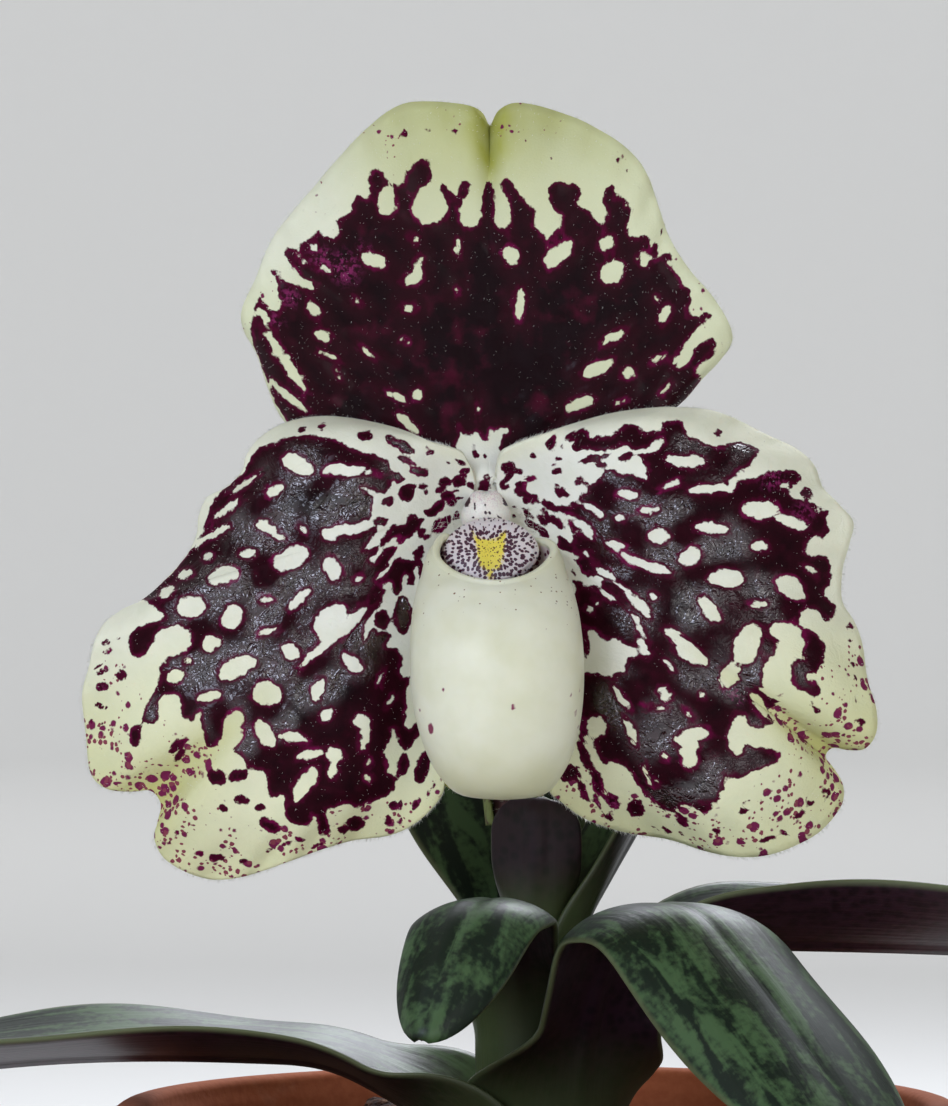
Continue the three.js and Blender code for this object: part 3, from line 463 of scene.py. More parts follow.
for order, (node, leaf) in enumerate(LEAVES.items()):
    middle, thickness, opened, length, across, away = leaf_blade(leaf, order)
    points, faces, normal = sheet_skin(middle, thickness)
    upper = np.repeat([1.0, 0.0], opened.size)
    marks = {"along": length + 40 * order, "aside": across, "sheathed": 1 - opened,
             "margin": smooth(0.95, 1, away) * opened}
    blade = make_piece(node + "_blade", points, faces, mottled_leaf, side=upper,
                       **{mark: both_sides(value) for mark, value in marks.items()})
    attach(blade, "root")
    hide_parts(node)

# ---------------------------------------------------------------- flower stem, ovary and bract
# The short purple stem rises inside the fan and carries the ribbed ovary, which arches forward into the
# bloom; a small bract wraps its foot. The stem and the ovary are covered in soft down.


def along_curve(corners, share):
    """A uniform Catmull-Rom curve through corners, its end corners doubled, at shares 0 to 1 of their
    count."""
    corners = np.asarray(corners, dtype=float)
    around = np.concatenate([corners[:1], corners, corners[-1:]])
    spans = len(corners) - 1
    reach = np.asarray(share) * spans
    k = np.minimum(reach.astype(int), spans - 1)
    t = (reach - k)[..., None]
    a, b, c, d = (around[k + i] for i in range(4))
    return 0.5 * (2 * b + (c - a) * t + (2 * a - 5 * b + 4 * c - d) * t**2 + (3 * b - a - 3 * c + d) * t**3)


def spline(corners, count):
    """The same curve at `count` equal steps of its length."""
    curve = along_curve(corners, np.linspace(0, 1, 24 * len(corners)))
    run = np.concatenate([[0], np.cumsum(np.linalg.norm(np.diff(curve, axis=0), axis=1))])
    even = np.linspace(0, run[-1], count)
    return np.stack([np.interp(even, run, column) for column in curve.T], -1)


def hair_skin(roots, ways, lengths, width, rng, bend=0):
    """Fine hairs: three-sided spikes, straight, or bent in the middle where bend, a share of their length, is
    set. Bent ones are narrower by a third at the bend, which sits at 0.55 of their length."""
    ways = ways / np.linalg.norm(ways, axis=1, keepdims=True)
    aside = np.cross(ways, rng.normal(size=ways.shape))
    aside /= np.linalg.norm(aside, axis=1, keepdims=True)
    other = np.cross(ways, aside)
    corners = 2 * np.pi * np.arange(3) / 3
    ring = np.cos(corners)[None, :, None] * aside[:, None] + np.sin(corners)[None, :, None] * other[:, None]
    reach = lengths[:, None]
    foot = (roots - 0.08 * ways)[:, None] + ring * width / 2
    knee = (roots + 0.55 * reach * ways + 0.3 * bend * reach * aside)[:, None] + ring * width * 0.32
    tip = (roots + 0.97 * reach * ways + bend * reach * aside)[:, None]
    if not bend:
        points = np.concatenate([foot, tip], axis=1)
        sides = np.array([[0, 1, 3], [1, 2, 3], [2, 0, 3], [0, 2, 1]])
        faces = 4 * np.arange(len(roots))[:, None, None] + sides
        return points.reshape(-1, 3), faces.reshape(-1, 3).tolist()
    points = np.concatenate([foot, knee, tip], axis=1).reshape(-1, 3)
    start = 7 * np.arange(len(roots))[:, None, None]
    sides = start + np.array([[0, 1, 4, 3], [1, 2, 5, 4], [2, 0, 3, 5]])
    ends = start + np.array([[0, 2, 1], [3, 4, 6], [4, 5, 6], [5, 3, 6]])
    return points, sides.reshape(-1, 4).tolist() + ends.reshape(-1, 3).tolist()


def stalk_rings(path, sides, radius_at):
    """Rings round a path, square to it, whose first spoke is square to Y as well. Their radius is
    radius_at(share, angle). Also gives the unit spokes."""
    forward = np.gradient(path, axis=0)
    forward /= np.linalg.norm(forward, axis=1, keepdims=True)
    side = np.cross([0.0, 1.0, 0.0], forward)
    side /= np.linalg.norm(side, axis=1, keepdims=True)
    other = np.cross(forward, side)
    share = np.linspace(0, 1, len(path))[:, None]
    angle = np.linspace(0, 2 * np.pi, sides, endpoint=False)[None]
    radius = radius_at(share, angle)[..., None]
    spoke = np.cos(angle)[..., None] * side[:, None] + np.sin(angle)[..., None] * other[:, None]
    return path[:, None] + radius * spoke, spoke


down, add, shader = new_finish("White plant down")
add(shader, {"Base Color": linear("#e6e6da"), "Roughness": 0.6, "Specular IOR Level": 0.3})

purple_stem, add, shader = new_finish("Downy purple stem skin")
place = add("TexCoord", out="Object")
streaks = add("TexNoise", {"Vector": place, "Scale": 1 / (1.6 * MM), "Detail": 4.0})
tint = add("Mix", {0: streaks, 6: linear("#3a1c26"), 7: linear("#6d4a4c")}, **COLOURS)
relief = add("Bump", {"Height": streaks, "Strength": 0.4, "Distance": 0.15 * MM})
add(shader, {"Base Color": tint, "Normal": relief, "Roughness": 0.65})

STEM_RADIUS, OVARY_RADIUS = 1.9, 2.5
STALK_SIDES = 48
BLOOM = np.array([-5.0, -22.0, 135.0])  # middle of the column, where the bloom's own measures start
stem_path = spline([[0, 0, CROWN_FOOT], [0, 0.1, 77], [-0.4, 1.0, 91], [-2.2, 3.6, 103]], 80)
ovary_path = spline([[-2.25, 3.7, 103.55], [-3, 4.3, 112], [-4, 2.2, 122], [-4.7, -4.2, 131], [-5, -11, 135],
                     [-5, -17.55, 135.8]], 120)


def ovary_radius(share, angle):
    """Swells to its middle, narrows to the bloom, and is ribbed by 7% six times round."""
    swell = (0.8 + 0.2 * smooth(0, 0.4, share)) * (1 - 0.14 * smooth(0.75, 1, share))
    return OVARY_RADIUS * swell * (1 + 0.07 * np.cos(6 * angle))


# Each with its path, its radius, how many hairs it has and the seed they are drawn from.
STALKS = {
    "stem": (stem_path, lambda share, angle: STEM_RADIUS * (1 + 0.02 * np.sin(40 * share + 3 * angle)),
             900, 81),
    "ovary": (ovary_path, ovary_radius, 1700, 82),
}
for node, (path, radius_at, hairs, seed) in STALKS.items():
    rings, spoke = stalk_rings(path, STALK_SIDES, radius_at)
    points, faces = ringed_skin(rings, path[0], path[-1])
    stalk = make_piece(node + "_skin", points, faces, purple_stem)
    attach(stalk, "root")
    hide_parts(node)
    rng = np.random.default_rng(seed)
    low = 40 if node == "stem" else 2  # the stem's lower half is sheathed, and bare
    i, j = rng.integers(low, len(path) - 4, hairs), rng.integers(0, STALK_SIDES, hairs)
    points, faces = hair_skin(rings[i, j], spoke[i, j] + 0.25 * rng.normal(size=(hairs, 3)),
                              rng.uniform(0.5, 1.1, hairs), 0.06, rng)
    stalk_down = make_piece(node + "_down", points, faces, down)
    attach(stalk_down, "root")

bract_green, add, shader = new_finish("Downy green bract")
place = add("TexCoord", out="Object")
freckle = add("TexNoise", {"Vector": place, "Scale": 1 / (0.9 * MM), "Detail": 3.0})
tint = add("MapRange", {"Value": freckle, "From Min": 0.5, "From Max": 0.66})
skin = add("Mix", {0: tint, 6: linear("#87955a"), 7: linear("#5b3038")}, **COLOURS)
add(shader, {"Base Color": skin, "Roughness": 0.6})

BRACT_SPAN = 0.42  # share of the ovary's length that the bract wraps
u, v = np.meshgrid(np.linspace(0, 1, 50), np.linspace(0, 1, 41), indexing="ij")


def ovary_at(share):
    """Point and direction of the ovary's middle at a share of its length."""
    steps = np.linspace(0, 1, len(ovary_path))
    ways = np.gradient(ovary_path, axis=0)
    ways /= np.linalg.norm(ways, axis=1, keepdims=True)
    return (np.stack([np.interp(share, steps, c) for c in column.T], -1) for column in (ovary_path, ways))


centre, forward = ovary_at(BRACT_SPAN * u)
back = np.array([0, 1, 0]) - forward * forward[..., 1:2]
back /= np.linalg.norm(back, axis=-1, keepdims=True)
side = np.cross(forward, back)
flare = (0.8 * OVARY_RADIUS + 0.87 + 1.9 * u * u)[..., None]
angle = ((2 * v - 1) * 2.2 * (1 - 0.93 * u**1.6))[..., None]
middle = centre + back * flare * np.cos(angle) + side * flare * np.sin(angle) + forward * (1.5 * u)[..., None]
points, faces, normal = sheet_skin(middle, 0.6 * np.sqrt(1 - 0.85 * smooth(0.9, 1, np.abs(2 * v - 1))))
bract = make_piece("bract_blade", points, faces, bract_green)
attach(bract, "root")
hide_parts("bract")

# ---------------------------------------------------------------- dorsal sepal
# The broad upper sepal: fleshy, notched and creased at its tip, cream with a great maroon stain that runs up
# into fingers round cream drops and has cream windows in it. A fringe of fine white hairs stands on its rim.

DORSAL_CLAW = [[-2.2, 2.4], [1.8, 2.4]]
DORSAL_OUTLINE = [
    [-2.6, 4.6], [-7.5, 4.9], [-14, 6.5], [-18.6, 8.4], [-20.9, 10.2], [-22.4, 13.4], [-23.4, 16.6],
    [-24.7, 19], [-24.9, 21.2], [-23.4, 24.4], [-22.3, 27.2], [-20.6, 29.9], [-16.4, 34.8], [-13.4, 38.1],
    [-10.8, 40.5], [-8.4, 41.8], [-5.4, 41.9], [-2.6, 41.6], [-0.9, 40.9], [0, 39.6], [0.9, 41], [2.6, 41.8],
    [5.6, 41.3], [9, 40.1], [12.2, 38.3], [14.4, 36.5], [15.9, 34.2], [17, 31], [18.2, 27.9], [20.2, 24.9],
    [22.6, 22.1], [24.3, 19], [24, 17.2], [22, 15], [19.6, 12.3], [15, 8.8], [8, 5.9], [2.6, 4.6],
]
# The stain's outer line, [right, up] from the column as every measure on the bloom.
DORSAL_STAIN = [
    [-2.7, 8.3], [-3.0, 9.3], [-3.4, 7.6], [-4.2, 6.9], [-11, 6.5], [-19, 8.6], [-20.7, 10.8], [-22, 13.2],
    [-22.9, 15.4], [-23.4, 16.7], [-23.8, 19.4], [-23.3, 21.7], [-22.8, 22.4], [-22.1, 21.5], [-21.4, 20.9],
    [-20.9, 21.4], [-21.1, 23], [-21.4, 24.4], [-20.9, 24.9], [-20.3, 24.1], [-19.4, 24.4], [-20.1, 25.7],
    [-20.5, 26.9], [-20.1, 27.5], [-19.3, 26.9], [-18.4, 27.6], [-17.3, 29], [-16.6, 28.7], [-15.9, 28.2],
    [-15.1, 28.8], [-15.4, 29.9], [-14.4, 30.4], [-13.6, 30.9], [-13.7, 31.7], [-13.1, 32.5], [-12.3, 32.1],
    [-11.9, 33.2], [-12.2, 34], [-11.7, 35], [-11.1, 35.1], [-10.5, 34.4], [-10.3, 33.6], [-10.7, 33],
    [-11.2, 32.4], [-11.3, 31.4], [-10.9, 30.7], [-10.3, 30.4], [-9.6, 30.9], [-9.5, 31.7], [-9.8, 32.6],
    [-9.8, 33.3], [-9, 33.5], [-8.6, 34], [-8.8, 35], [-8.1, 35.1], [-7.5, 35.8], [-6.7, 36], [-5.9, 35.5],
    [-5.8, 34.4], [-6.3, 33.6], [-7, 33.2], [-7.5, 32.6], [-7.8, 31.5], [-7.5, 30.5], [-6.8, 29.8],
    [-5.9, 29.7], [-4.8, 30.1], [-4.3, 31], [-4.2, 31.9], [-4.8, 32.8], [-5, 33.6], [-4.6, 33.8], [-4, 33.3],
    [-3.5, 32.3], [-3.2, 33], [-2.8, 33.9], [-2, 34], [-1.9, 33.2], [-2.3, 32.3], [-2.9, 31.3], [-3, 30.3],
    [-2.5, 29.6], [-1.6, 29.4], [-1.1, 30], [-0.9, 31], [-1, 32.4], [-0.8, 33.4], [-0.4, 33.9], [0.2, 33.7],
    [0.6, 33], [0.7, 31.9], [0.6, 30.9], [0.7, 29.9], [1.3, 29.3], [1.9, 29.3], [2.2, 30.1], [2, 31.3],
    [1.7, 32.5], [1.2, 33.4], [1.5, 34.1], [2.1, 34.1], [2.5, 33.4], [2.7, 32.6], [3.5, 32.1], [4.5, 31.3],
    [4.6, 30.5], [4.3, 29.9], [5, 29], [5.7, 28.3], [6.4, 28.7], [7.1, 29.6], [7.2, 30.5], [6.6, 31],
    [6, 31.6], [5.7, 32.5], [5.9, 33.4], [6.6, 33.9], [7.7, 33.6], [8.9, 33.6], [9, 32.8], [8.6, 31.9],
    [9.1, 31.3], [9.9, 31.1], [10.4, 30.3], [11, 29.7], [11.7, 30], [11.8, 30.7], [11.4, 31.5], [11.3, 32.5],
    [11.7, 33.3], [12.4, 33.5], [12.7, 32.4], [13.3, 32.2], [13.9, 31.9], [13.8, 31.3], [14.4, 30.8],
    [14, 30], [13.7, 29.1], [14.3, 28.4], [15.4, 28.6], [15.8, 28.1], [16.6, 27.4], [16.9, 26.4],
    [17.9, 26.9], [18.3, 26.5], [17.9, 25.5], [18.6, 24.8], [19.1, 24.2], [19.3, 23.4], [20, 23.1],
    [20.2, 22.1], [19.7, 21], [20.4, 20.4], [21.6, 20.9], [21.8, 20.1], [20.8, 19.2], [20, 18.4],
    [19.2, 16.9], [18.8, 15.8], [19.6, 15.6], [20.6, 17], [21.6, 18.2], [22.4, 18.4], [22.6, 17.4],
    [21.6, 16.2], [20.9, 15.2], [21.1, 14.2], [19.5, 12.2], [18, 10.4], [13, 7.6], [3, 6.2], [1.1, 6.6],
    [1.2, 8.1], [1.9, 8.9], [1.8, 9.3], [0.4, 9.0], [0.0, 8.6], [-0.2, 8.0], [-0.6, 7.9], [-1.0, 8.5],
    [-1.3, 9.0], [-2.0, 8.5],
]
# Ovals below are [right, up, half length, half width, tilt in degrees].
DORSAL_SPOTS = [
    [-1.45, 6.55, 0.6, 0.42, 102], [-0.5, 6.2, 0.45, 0.28, 92], [-0.5, 3.75, 0.7, 0.62, 0],
    [-0.5, 3.1, 0.55, 0.4, 0], [-8.6, 38.4, 0.55, 0.38, 90], [-6.1, 38.8, 0.5, 0.22, -30],
    [-3.4, 38.6, 0.5, 0.32, -20], [-4.4, 36.7, 0.75, 0.28, -12], [-5.1, 37.3, 0.28, 0.2, 0],
    [17.2, 29.2, 0.45, 0.25, 80], [-19, 27.5, 0.3, 0.2, 0], [-22.4, 14.6, 0.7, 0.12, -65],
    [-21.4, 12.2, 0.6, 0.14, -60], [21.9, 20.2, 0.6, 0.2, 60], [23.0, 17.6, 0.4, 0.15, 60],
    [-21.8, 25.0, 0.25, 0.2, 0], [7.4, 39.1, 0.3, 0.18, 20], [3.5, 37.5, 0.16, 0.3, 0],
    [9.0, 38.7, 0.2, 0.12, 0], [11.2, 37.5, 0.26, 0.15, -30], [13.0, 36.8, 0.3, 0.13, -40],
    [12.8, 35.8, 0.2, 0.14, 0], [13.7, 35.0, 0.26, 0.14, -50], [5.9, 36.2, 0.16, 0.2, 0],
    [14.9, 33.4, 0.26, 0.15, -50], [2.1, 39.2, 0.24, 0.12, 0],
]
DORSAL_WINDOWS = [
    [-7.8, 28.3, 0.5, 0.25, -10], [-11.6, 26.1, 1.25, 0.68, -25], [-7.8, 24.3, 1.0, 0.6, 10],
    [-7.2, 25.3, 1.1, 0.42, 75], [-3.3, 27.4, 0.8, 0.34, 90], [2.2, 26.6, 0.85, 0.85, 90],
    [6.3, 26.2, 0.95, 0.75, 35], [7.4, 27.2, 0.95, 0.7, 35], [11.7, 27.8, 0.9, 0.75, 0],
    [12.2, 24.9, 1.4, 1.0, 35], [15.5, 26.2, 0.65, 0.6, 0], [3.0, 21.8, 1.6, 0.45, 87],
    [-17.8, 21.3, 0.95, 0.5, -60], [-16.7, 25.3, 0.75, 0.3, -20], [-8.1, 21.4, 0.75, 0.38, -10],
    [-3.4, 22.9, 0.3, 0.28, 0], [-16.8, 18.6, 0.8, 0.5, -30], [-8.5, 18.1, 0.3, 0.3, 0],
    [12.4, 18.4, 1.4, 0.46, 28], [10.9, 15.3, 1.75, 0.58, 24], [13.9, 14.8, 0.62, 0.6, 0],
    [-13.3, 21.9, 0.5, 0.2, -40], [17.6, 20.7, 1.0, 0.5, 52], [16.9, 16.2, 0.85, 0.27, 20],
    [9.0, 11.7, 1.5, 0.62, 27], [17.6, 13.2, 0.7, 0.23, 45], [-9.4, 12.4, 1.1, 0.3, -20],
    [-7.3, 12.6, 0.6, 0.5, 60], [-8.2, 9.7, 1.4, 0.38, -42], [-20.6, 16.2, 3.6, 0.42, -58],
    [-20.2, 12.6, 2.4, 0.35, -42], [20.0, 17.3, 2.2, 0.4, 42], [-12.3, 16.8, 0.8, 0.2, -35],
    [-22.4, 20.3, 1.2, 0.35, -58], [-19.3, 23.9, 1.7, 0.4, -20], [-16.3, 16.5, 0.9, 0.2, -30],
    [-15.4, 14.6, 0.5, 0.18, -60], [13.2, 12.0, 0.5, 0.18, 30], [-18.9, 26.1, 0.5, 0.25, -45],
    [-1.2, 11.3, 0.35, 0.12, 90], [16.8, 22.4, 0.3, 0.22, 0], [-17.6, 27.2, 0.45, 0.3, 10],
]


def inside(outline, x, z):
    """Signed distance to the closed outline, positive inside: the least distance to its straight steps."""
    rim = along_curve([*outline, outline[0]], np.linspace(0, 1, 5 * len(outline), endpoint=False))
    least = np.full(x.shape, 1e9)
    within = np.zeros(x.shape, dtype=bool)
    for (ax, az), (bx, bz) in zip(rim, np.roll(rim, -1, axis=0)):
        dx, dz = bx - ax, bz - az
        t = np.clip(((x - ax) * dx + (z - az) * dz) / (dx * dx + dz * dz + 1e-12), 0, 1)
        least = np.minimum(least, (x - ax - t * dx) ** 2 + (z - az - t * dz) ** 2)
        if dz:
            within ^= ((az > z) != (bz > z)) & (x < ax + (z - az) * dx / dz)
    return np.where(within, 1, -1) * np.sqrt(least)


def fused(a, b, reach=0.35):
    """The greater of a and b, rounded where they are within reach of each other, so that shapes flow into one
    another: for h from 0 to 1 across that reach, b + (a - b) h + reach h (1 - h)."""
    h = np.clip(0.5 + 0.5 * (a - b) / reach, 0, 1)
    return b + (a - b) * h + reach * h * (1 - h)


def in_ovals(ovals, x, z):
    """Signed distance to the union of ovals, positive inside: k(1 - k)/|grad k| for k = |(u/a, v/b)|."""
    total = np.full(x.shape, -9.0)
    for right, up, long, wide, tilt in ovals:
        c, s = math.cos(math.radians(tilt)), math.sin(math.radians(tilt))
        u, v = (x - right) * c + (z - up) * s, (z - up) * c - (x - right) * s
        k = np.hypot(u / long, v / wide)
        total = fused(total, np.minimum(k * (1 - k) / (np.hypot(u / long**2, v / wide**2) + 1e-9), wide), 0.2)
    return total


def stain_at(x, z, field, windows, spots, seed):
    """Signed distance to the maroon, in mm: the field without its windows, with the spots. Swells 2.6 and
    1 mm long, of 0.10 and 0.06 mm, make its edge uneven."""
    across = np.stack([x, z], -1)
    wx = x + 0.10 * swells(across, 2.6, seed) + 0.06 * swells(across, 1.0, seed + 1)
    wz = z + 0.10 * swells(across, 2.6, seed + 2) + 0.06 * swells(across, 1.0, seed + 3)
    cut = -fused(-inside(field, wx, wz), in_ovals(windows, wx, wz))
    return fused(cut, in_ovals(spots, wx, wz), 0.25)


def petal_places(claw, outline, depth_at, rows, columns):
    """The middle of a petal as a grid: lines run from the claw (s = 0) to the outline (s = 1), t along both,
    and depth_at(x, z, s, t) is how far forward each point lies. Also gives x and z from in front, s and t."""
    s, t = np.meshgrid(np.linspace(0, 1, rows), np.linspace(0, 1, columns), indexing="ij")
    edge = spline(outline, columns)
    claw = np.asarray(claw)
    foot = claw[0] + (claw[1] - claw[0]) * t[0][:, None]
    flat = foot[None] + (edge - foot)[None] * s[..., None]
    x, z = flat[..., 0], flat[..., 1]
    return BLOOM + np.stack([x, -depth_at(x, z, s, t), z], -1), x, z, s, t


def petal_thickness(s, full=0.8):
    """0.92 to 0.68 of a millimetre over the blade, drawn in to a rounded rim over the last twentieth."""
    return full * (1.15 - 0.3 * s) * np.sqrt(np.clip(1 - ((s - 0.95) / 0.05).clip(0, 1) ** 2 * 0.93, 0.02, 1))


def dorsal_depth(x, z, s, t):
    """Leans forward to its top, cups at its sides, rolls back at its rim, and is creased below its notch."""
    lean = 4.6 * smooth(13, 42, z) + 1.4 * bell(z - 4, 2) + 0.7 * bell(z - 4.45, 0.3) * bell(x + 0.5, 0.8)
    cup = 2.2 * (x / 24) ** 2 * smooth(12, 24, z)
    crease = -1.7 * bell(x, 1.1) * smooth(24, 40, z)
    roll = -1.9 * smooth(0.82, 1, s) ** 2
    ripple = 0.5 * np.sin(0.42 * x + 0.2 * z) * smooth(0.3, 0.9, s)
    along_rim = smooth(0.1, 0.2, t) * (1 - smooth(0.8, 0.9, t))
    fine = 0.22 * smooth(0.86, 1, s) * np.sin(2 * np.pi * 31 * t) * along_rim
    return -3.7 + lean + cup + crease + roll + ripple + fine


def bloom_finish(name, wrinkle, cream, green):
    """Petal flesh. Reads the marks stain (mm into the maroon), flush (green to yellow), cool (white), speck
    (blotched rim), faded (washed-out maroon), waxy (glossy and wrinkled), face (1 on the front), and run and
    fan (along the veins and across them)."""
    finish, add, shader = new_finish(name)
    place = add("TexCoord", out="Object")
    stain, flush, cool, speck, faded, waxy, face, run, fan = (
        add("Attribute", attribute_name=mark, out="Fac")
        for mark in ("stain", "flush", "cool", "speck", "faded", "waxy", "face", "run", "fan")
    )
    # Cream ground, cooler at the claw, greener at the tip, with faint clouds 2.6 mm across.
    clouds = add("TexNoise", {"Vector": place, "Scale": 1 / (2.6 * MM), "Detail": 4.0})
    cloudy = add("MapRange", {"Value": clouds, "From Min": 0.35, "From Max": 0.75, "To Max": 0.22}, **EASED)
    ground = add("Mix", {0: cool, 6: linear(cream), 7: linear("#e7e6d7")}, **COLOURS)
    ground = add("Mix", {0: flush, 6: ground, 7: linear(green)}, **COLOURS)
    ground = add("Mix", {0: cloudy, 6: ground, 7: linear("#c9cda9")}, **COLOURS)
    # Two sizes of ragged speck along the rim: each cell, 1.2 or 0.6 mm, holds one that grows with the mark.
    nudge = add("TexNoise", {"Vector": place, "Scale": 1 / (0.5 * MM), "Detail": 2.0}, out=1)
    ragged_place = add("VectorMath", {0: nudge, 1: (0.34 * MM,) * 3, 2: place}, operation="MULTIPLY_ADD")
    for cell, widest, tint in ((1.2, 0.66, "#722348"), (0.6, 0.6, "#84404c")):
        cells = add("TexVoronoi", {"Vector": ragged_place, "Scale": 1 / (cell * MM)})
        chance = add("SeparateColor", {0: cells.node.outputs["Color"]})
        size = add("Math", {0: chance, 1: speck}, operation="MULTIPLY")
        size = add("MapRange", {"Value": size, "From Min": 0.06, "To Max": widest})
        rim = add("Math", {0: size, 1: cells}, operation="SUBTRACT")
        specked = add("MapRange", {"Value": rim, "From Min": -0.02, "From Max": 0.06})
        ground = add("Mix", {0: specked, 6: ground, 7: linear(tint)}, **COLOURS)
    # The stain: noise makes its edge uneven, crimson for half a millimetre, and it darkens further in.
    ragged = add("TexNoise", {"Vector": place, "Scale": 1 / (0.6 * MM), "Detail": 3.0})
    ragged = add("Math", {0: ragged, 1: 0.62, 2: stain}, operation="MULTIPLY_ADD")
    uneven = add("TexNoise", {"Vector": place, "Scale": 1 / (1.7 * MM), "Detail": 2.0})
    depth = add("Math", {0: uneven, 1: 0.26, 2: ragged}, operation="MULTIPLY_ADD")
    marked, halo, core = (
        add("MapRange", {"Value": depth, "From Min": low, "From Max": high}, **EASED)
        for low, high in ((0.37, 0.51), (0.48, 0.98), (0.8, 2.5))
    )
    vivid, dense = (
        add("MapRange", {"Value": clouds, "From Min": 0.5, "From Max": high}, **EASED)
        for high in (0.75, 0.8)
    )
    edge = add("Mix", {0: vivid, 6: linear("#4a0424"), 7: linear("#720a42")}, **COLOURS)
    deep = add("Mix", {0: dense, 6: linear("#140206"), 7: linear("#45061e")}, **COLOURS)
    middle = add("Mix", {0: core, 6: linear("#27030d"), 7: deep}, **COLOURS)
    dark = add("Mix", {0: halo, 6: edge, 7: middle}, **COLOURS)
    worn = add("TexNoise", {"Vector": place, "Scale": 1 / (0.55 * MM), "Detail": 3.0, "Roughness": 0.7})
    worn = add("MapRange", {"Value": worn, "From Min": 0.44, "From Max": 0.62}, **EASED)
    thin = add("Math", {0: worn, 1: faded}, operation="MULTIPLY")
    dark = add("Mix", {0: thin, 6: dark, 7: linear("#7c2454")}, **COLOURS)
    front = add("Mix", {0: marked, 6: ground, 7: dark}, **COLOURS)
    # Behind, the stain shows through paler, crossed by veins that fan out from the claw.
    course = add("CombineXYZ", {0: run, 1: fan})
    veins = add("TexNoise", {"Vector": course, "Scale": 1.0, "Detail": 2.0, "Distortion": 0.4})
    veins = add("Math", {0: veins, 1: 0.5}, operation="SUBTRACT")
    veins = add("Math", {0: veins}, operation="ABSOLUTE")
    veined = add("MapRange", {"Value": veins, "From Min": 0.035, "From Max": 0.0, "To Max": 0.4}, **EASED)
    through = add("Math", {0: marked, 1: 0.72}, operation="MULTIPLY")
    behind = add("Mix", {0: through, 6: ground, 7: linear("#4f1830")}, **COLOURS)
    behind = add("Mix", {0: veined, 6: behind, 7: linear("#63303f")}, **COLOURS)
    colour = add("Mix", {0: face, 6: behind, 7: front}, **COLOURS)
    # Waxy maroon is wrinkled in ridges about a millimetre apart; all of it is velvety with 0.22 mm papillae.
    gloss = add("Math", {0: waxy, 1: halo}, operation="MULTIPLY")
    height = add("Math", {0: gloss, 1: 0.85, 2: 0.15}, operation="MULTIPLY_ADD")
    wrinkles = add("TexNoise", {"Vector": place, "Scale": 1 / (1.5 * MM), "Detail": 3.0, "Distortion": 0.45,
                                "Roughness": 0.62})
    valley = add("Math", {0: wrinkles, 1: 0.5}, operation="SUBTRACT")
    valley = add("Math", {0: valley}, operation="ABSOLUTE")
    valley = add("Math", {0: valley, 1: height}, operation="MULTIPLY")
    coarse = add("Bump", {"Height": valley, "Strength": 1.0, "Distance": wrinkle * MM}, invert=True)
    papillae = add("TexVoronoi", {"Vector": place, "Scale": 1 / (0.22 * MM)}, out="Distance")
    fine = add("Bump", {"Height": papillae, "Strength": 0.3, "Distance": 0.04 * MM, "Normal": coarse})
    add(shader, {"Base Color": colour, "Normal": fine, "Coat Weight": gloss, "Coat Normal": coarse,
                 "Roughness": 0.62, "Specular IOR Level": 0.06, "Coat Roughness": 0.17, "Coat IOR": 1.95,
                 "Subsurface Weight": 0.10, "Subsurface Radius": (1.0, 0.7, 0.5),
                 "Subsurface Scale": 0.5 * MM})
    return finish


HAIR_WIDTH = 0.045


def fringe(name, middle, normal, count, seed, body):
    """Hairs on a petal: a fringe of `count`, 0.3 to 0.62 mm long, that stands out from its rim, and `body`
    short ones on its faces, three of every four in front."""
    rng = np.random.default_rng(seed)
    last = middle.shape[1] - 1
    where = rng.uniform(0.03, 0.97, count) * last
    k = where.astype(int)
    share = (where - k)[:, None]
    root = middle[-1, k] * (1 - share) + middle[-1, k + 1] * share
    out = middle[-1, k] - middle[-3, k]
    out /= np.linalg.norm(out, axis=1, keepdims=True)
    out += 0.42 * rng.normal(size=out.shape) * [0.6, 1, 0.6]
    rows = (middle.shape[0] - 2) * np.sqrt(rng.uniform(0.02, 1, body))
    columns = rng.integers(1, last, body)
    above = normal[rows.astype(int), columns] * np.where(rng.random(body) < 0.75, 1.0, -1.0)[:, None]
    above *= np.sign(-normal[..., 1].mean())
    seat = middle[rows.astype(int), columns] + 0.36 * above
    roots = np.concatenate([root, seat])
    ways = np.concatenate([out, above + 0.5 * rng.normal(size=above.shape)])
    lengths = np.concatenate([rng.uniform(0.3, 0.62, count), rng.uniform(0.14, 0.32, body)])
    points, faces = hair_skin(roots, ways, lengths, HAIR_WIDTH, rng)
    return make_piece(name, points, faces, down)


def in_rounds(rounds, x, z):
    """How far inside any of the soft rounds [right, up, radius] a place lies: 1 in the middle, 0 outside."""
    return np.max([smooth(radius, 0.3 * radius, np.hypot(x - right, z - up))
                   for right, up, radius in rounds], axis=0)


BACK_ROWS = 3  # one row in three is enough on the back of a petal
DORSAL_GRID = 121, 380  # rows from claw to rim, and columns round it
DORSAL_FADED = [[-14.6, 25.4, 2.2], [-16.9, 26.2, 1.7], [-20.2, 22.4, 1.3], [-21.4, 20.2, 1.0],
                [-12.4, 27.2, 0.9]]
middle, x, z, s, t = petal_places(DORSAL_CLAW, DORSAL_OUTLINE, dorsal_depth, *DORSAL_GRID)
flat = np.stack([x, z], -1)
stain = stain_at(x, z, DORSAL_STAIN, DORSAL_WINDOWS, DORSAL_SPOTS, seed=11)
middle[..., 1] -= 0.10 * swells(flat, 3.0, 5) * smooth(-0.3, 0.8, stain) * smooth(1, 0.9, s)
points, faces, normal = sheet_skin(middle, petal_thickness(s), BACK_ROWS)
tip = smooth(32, 41.5, z + 0.9 * swells(flat, 9, 12))
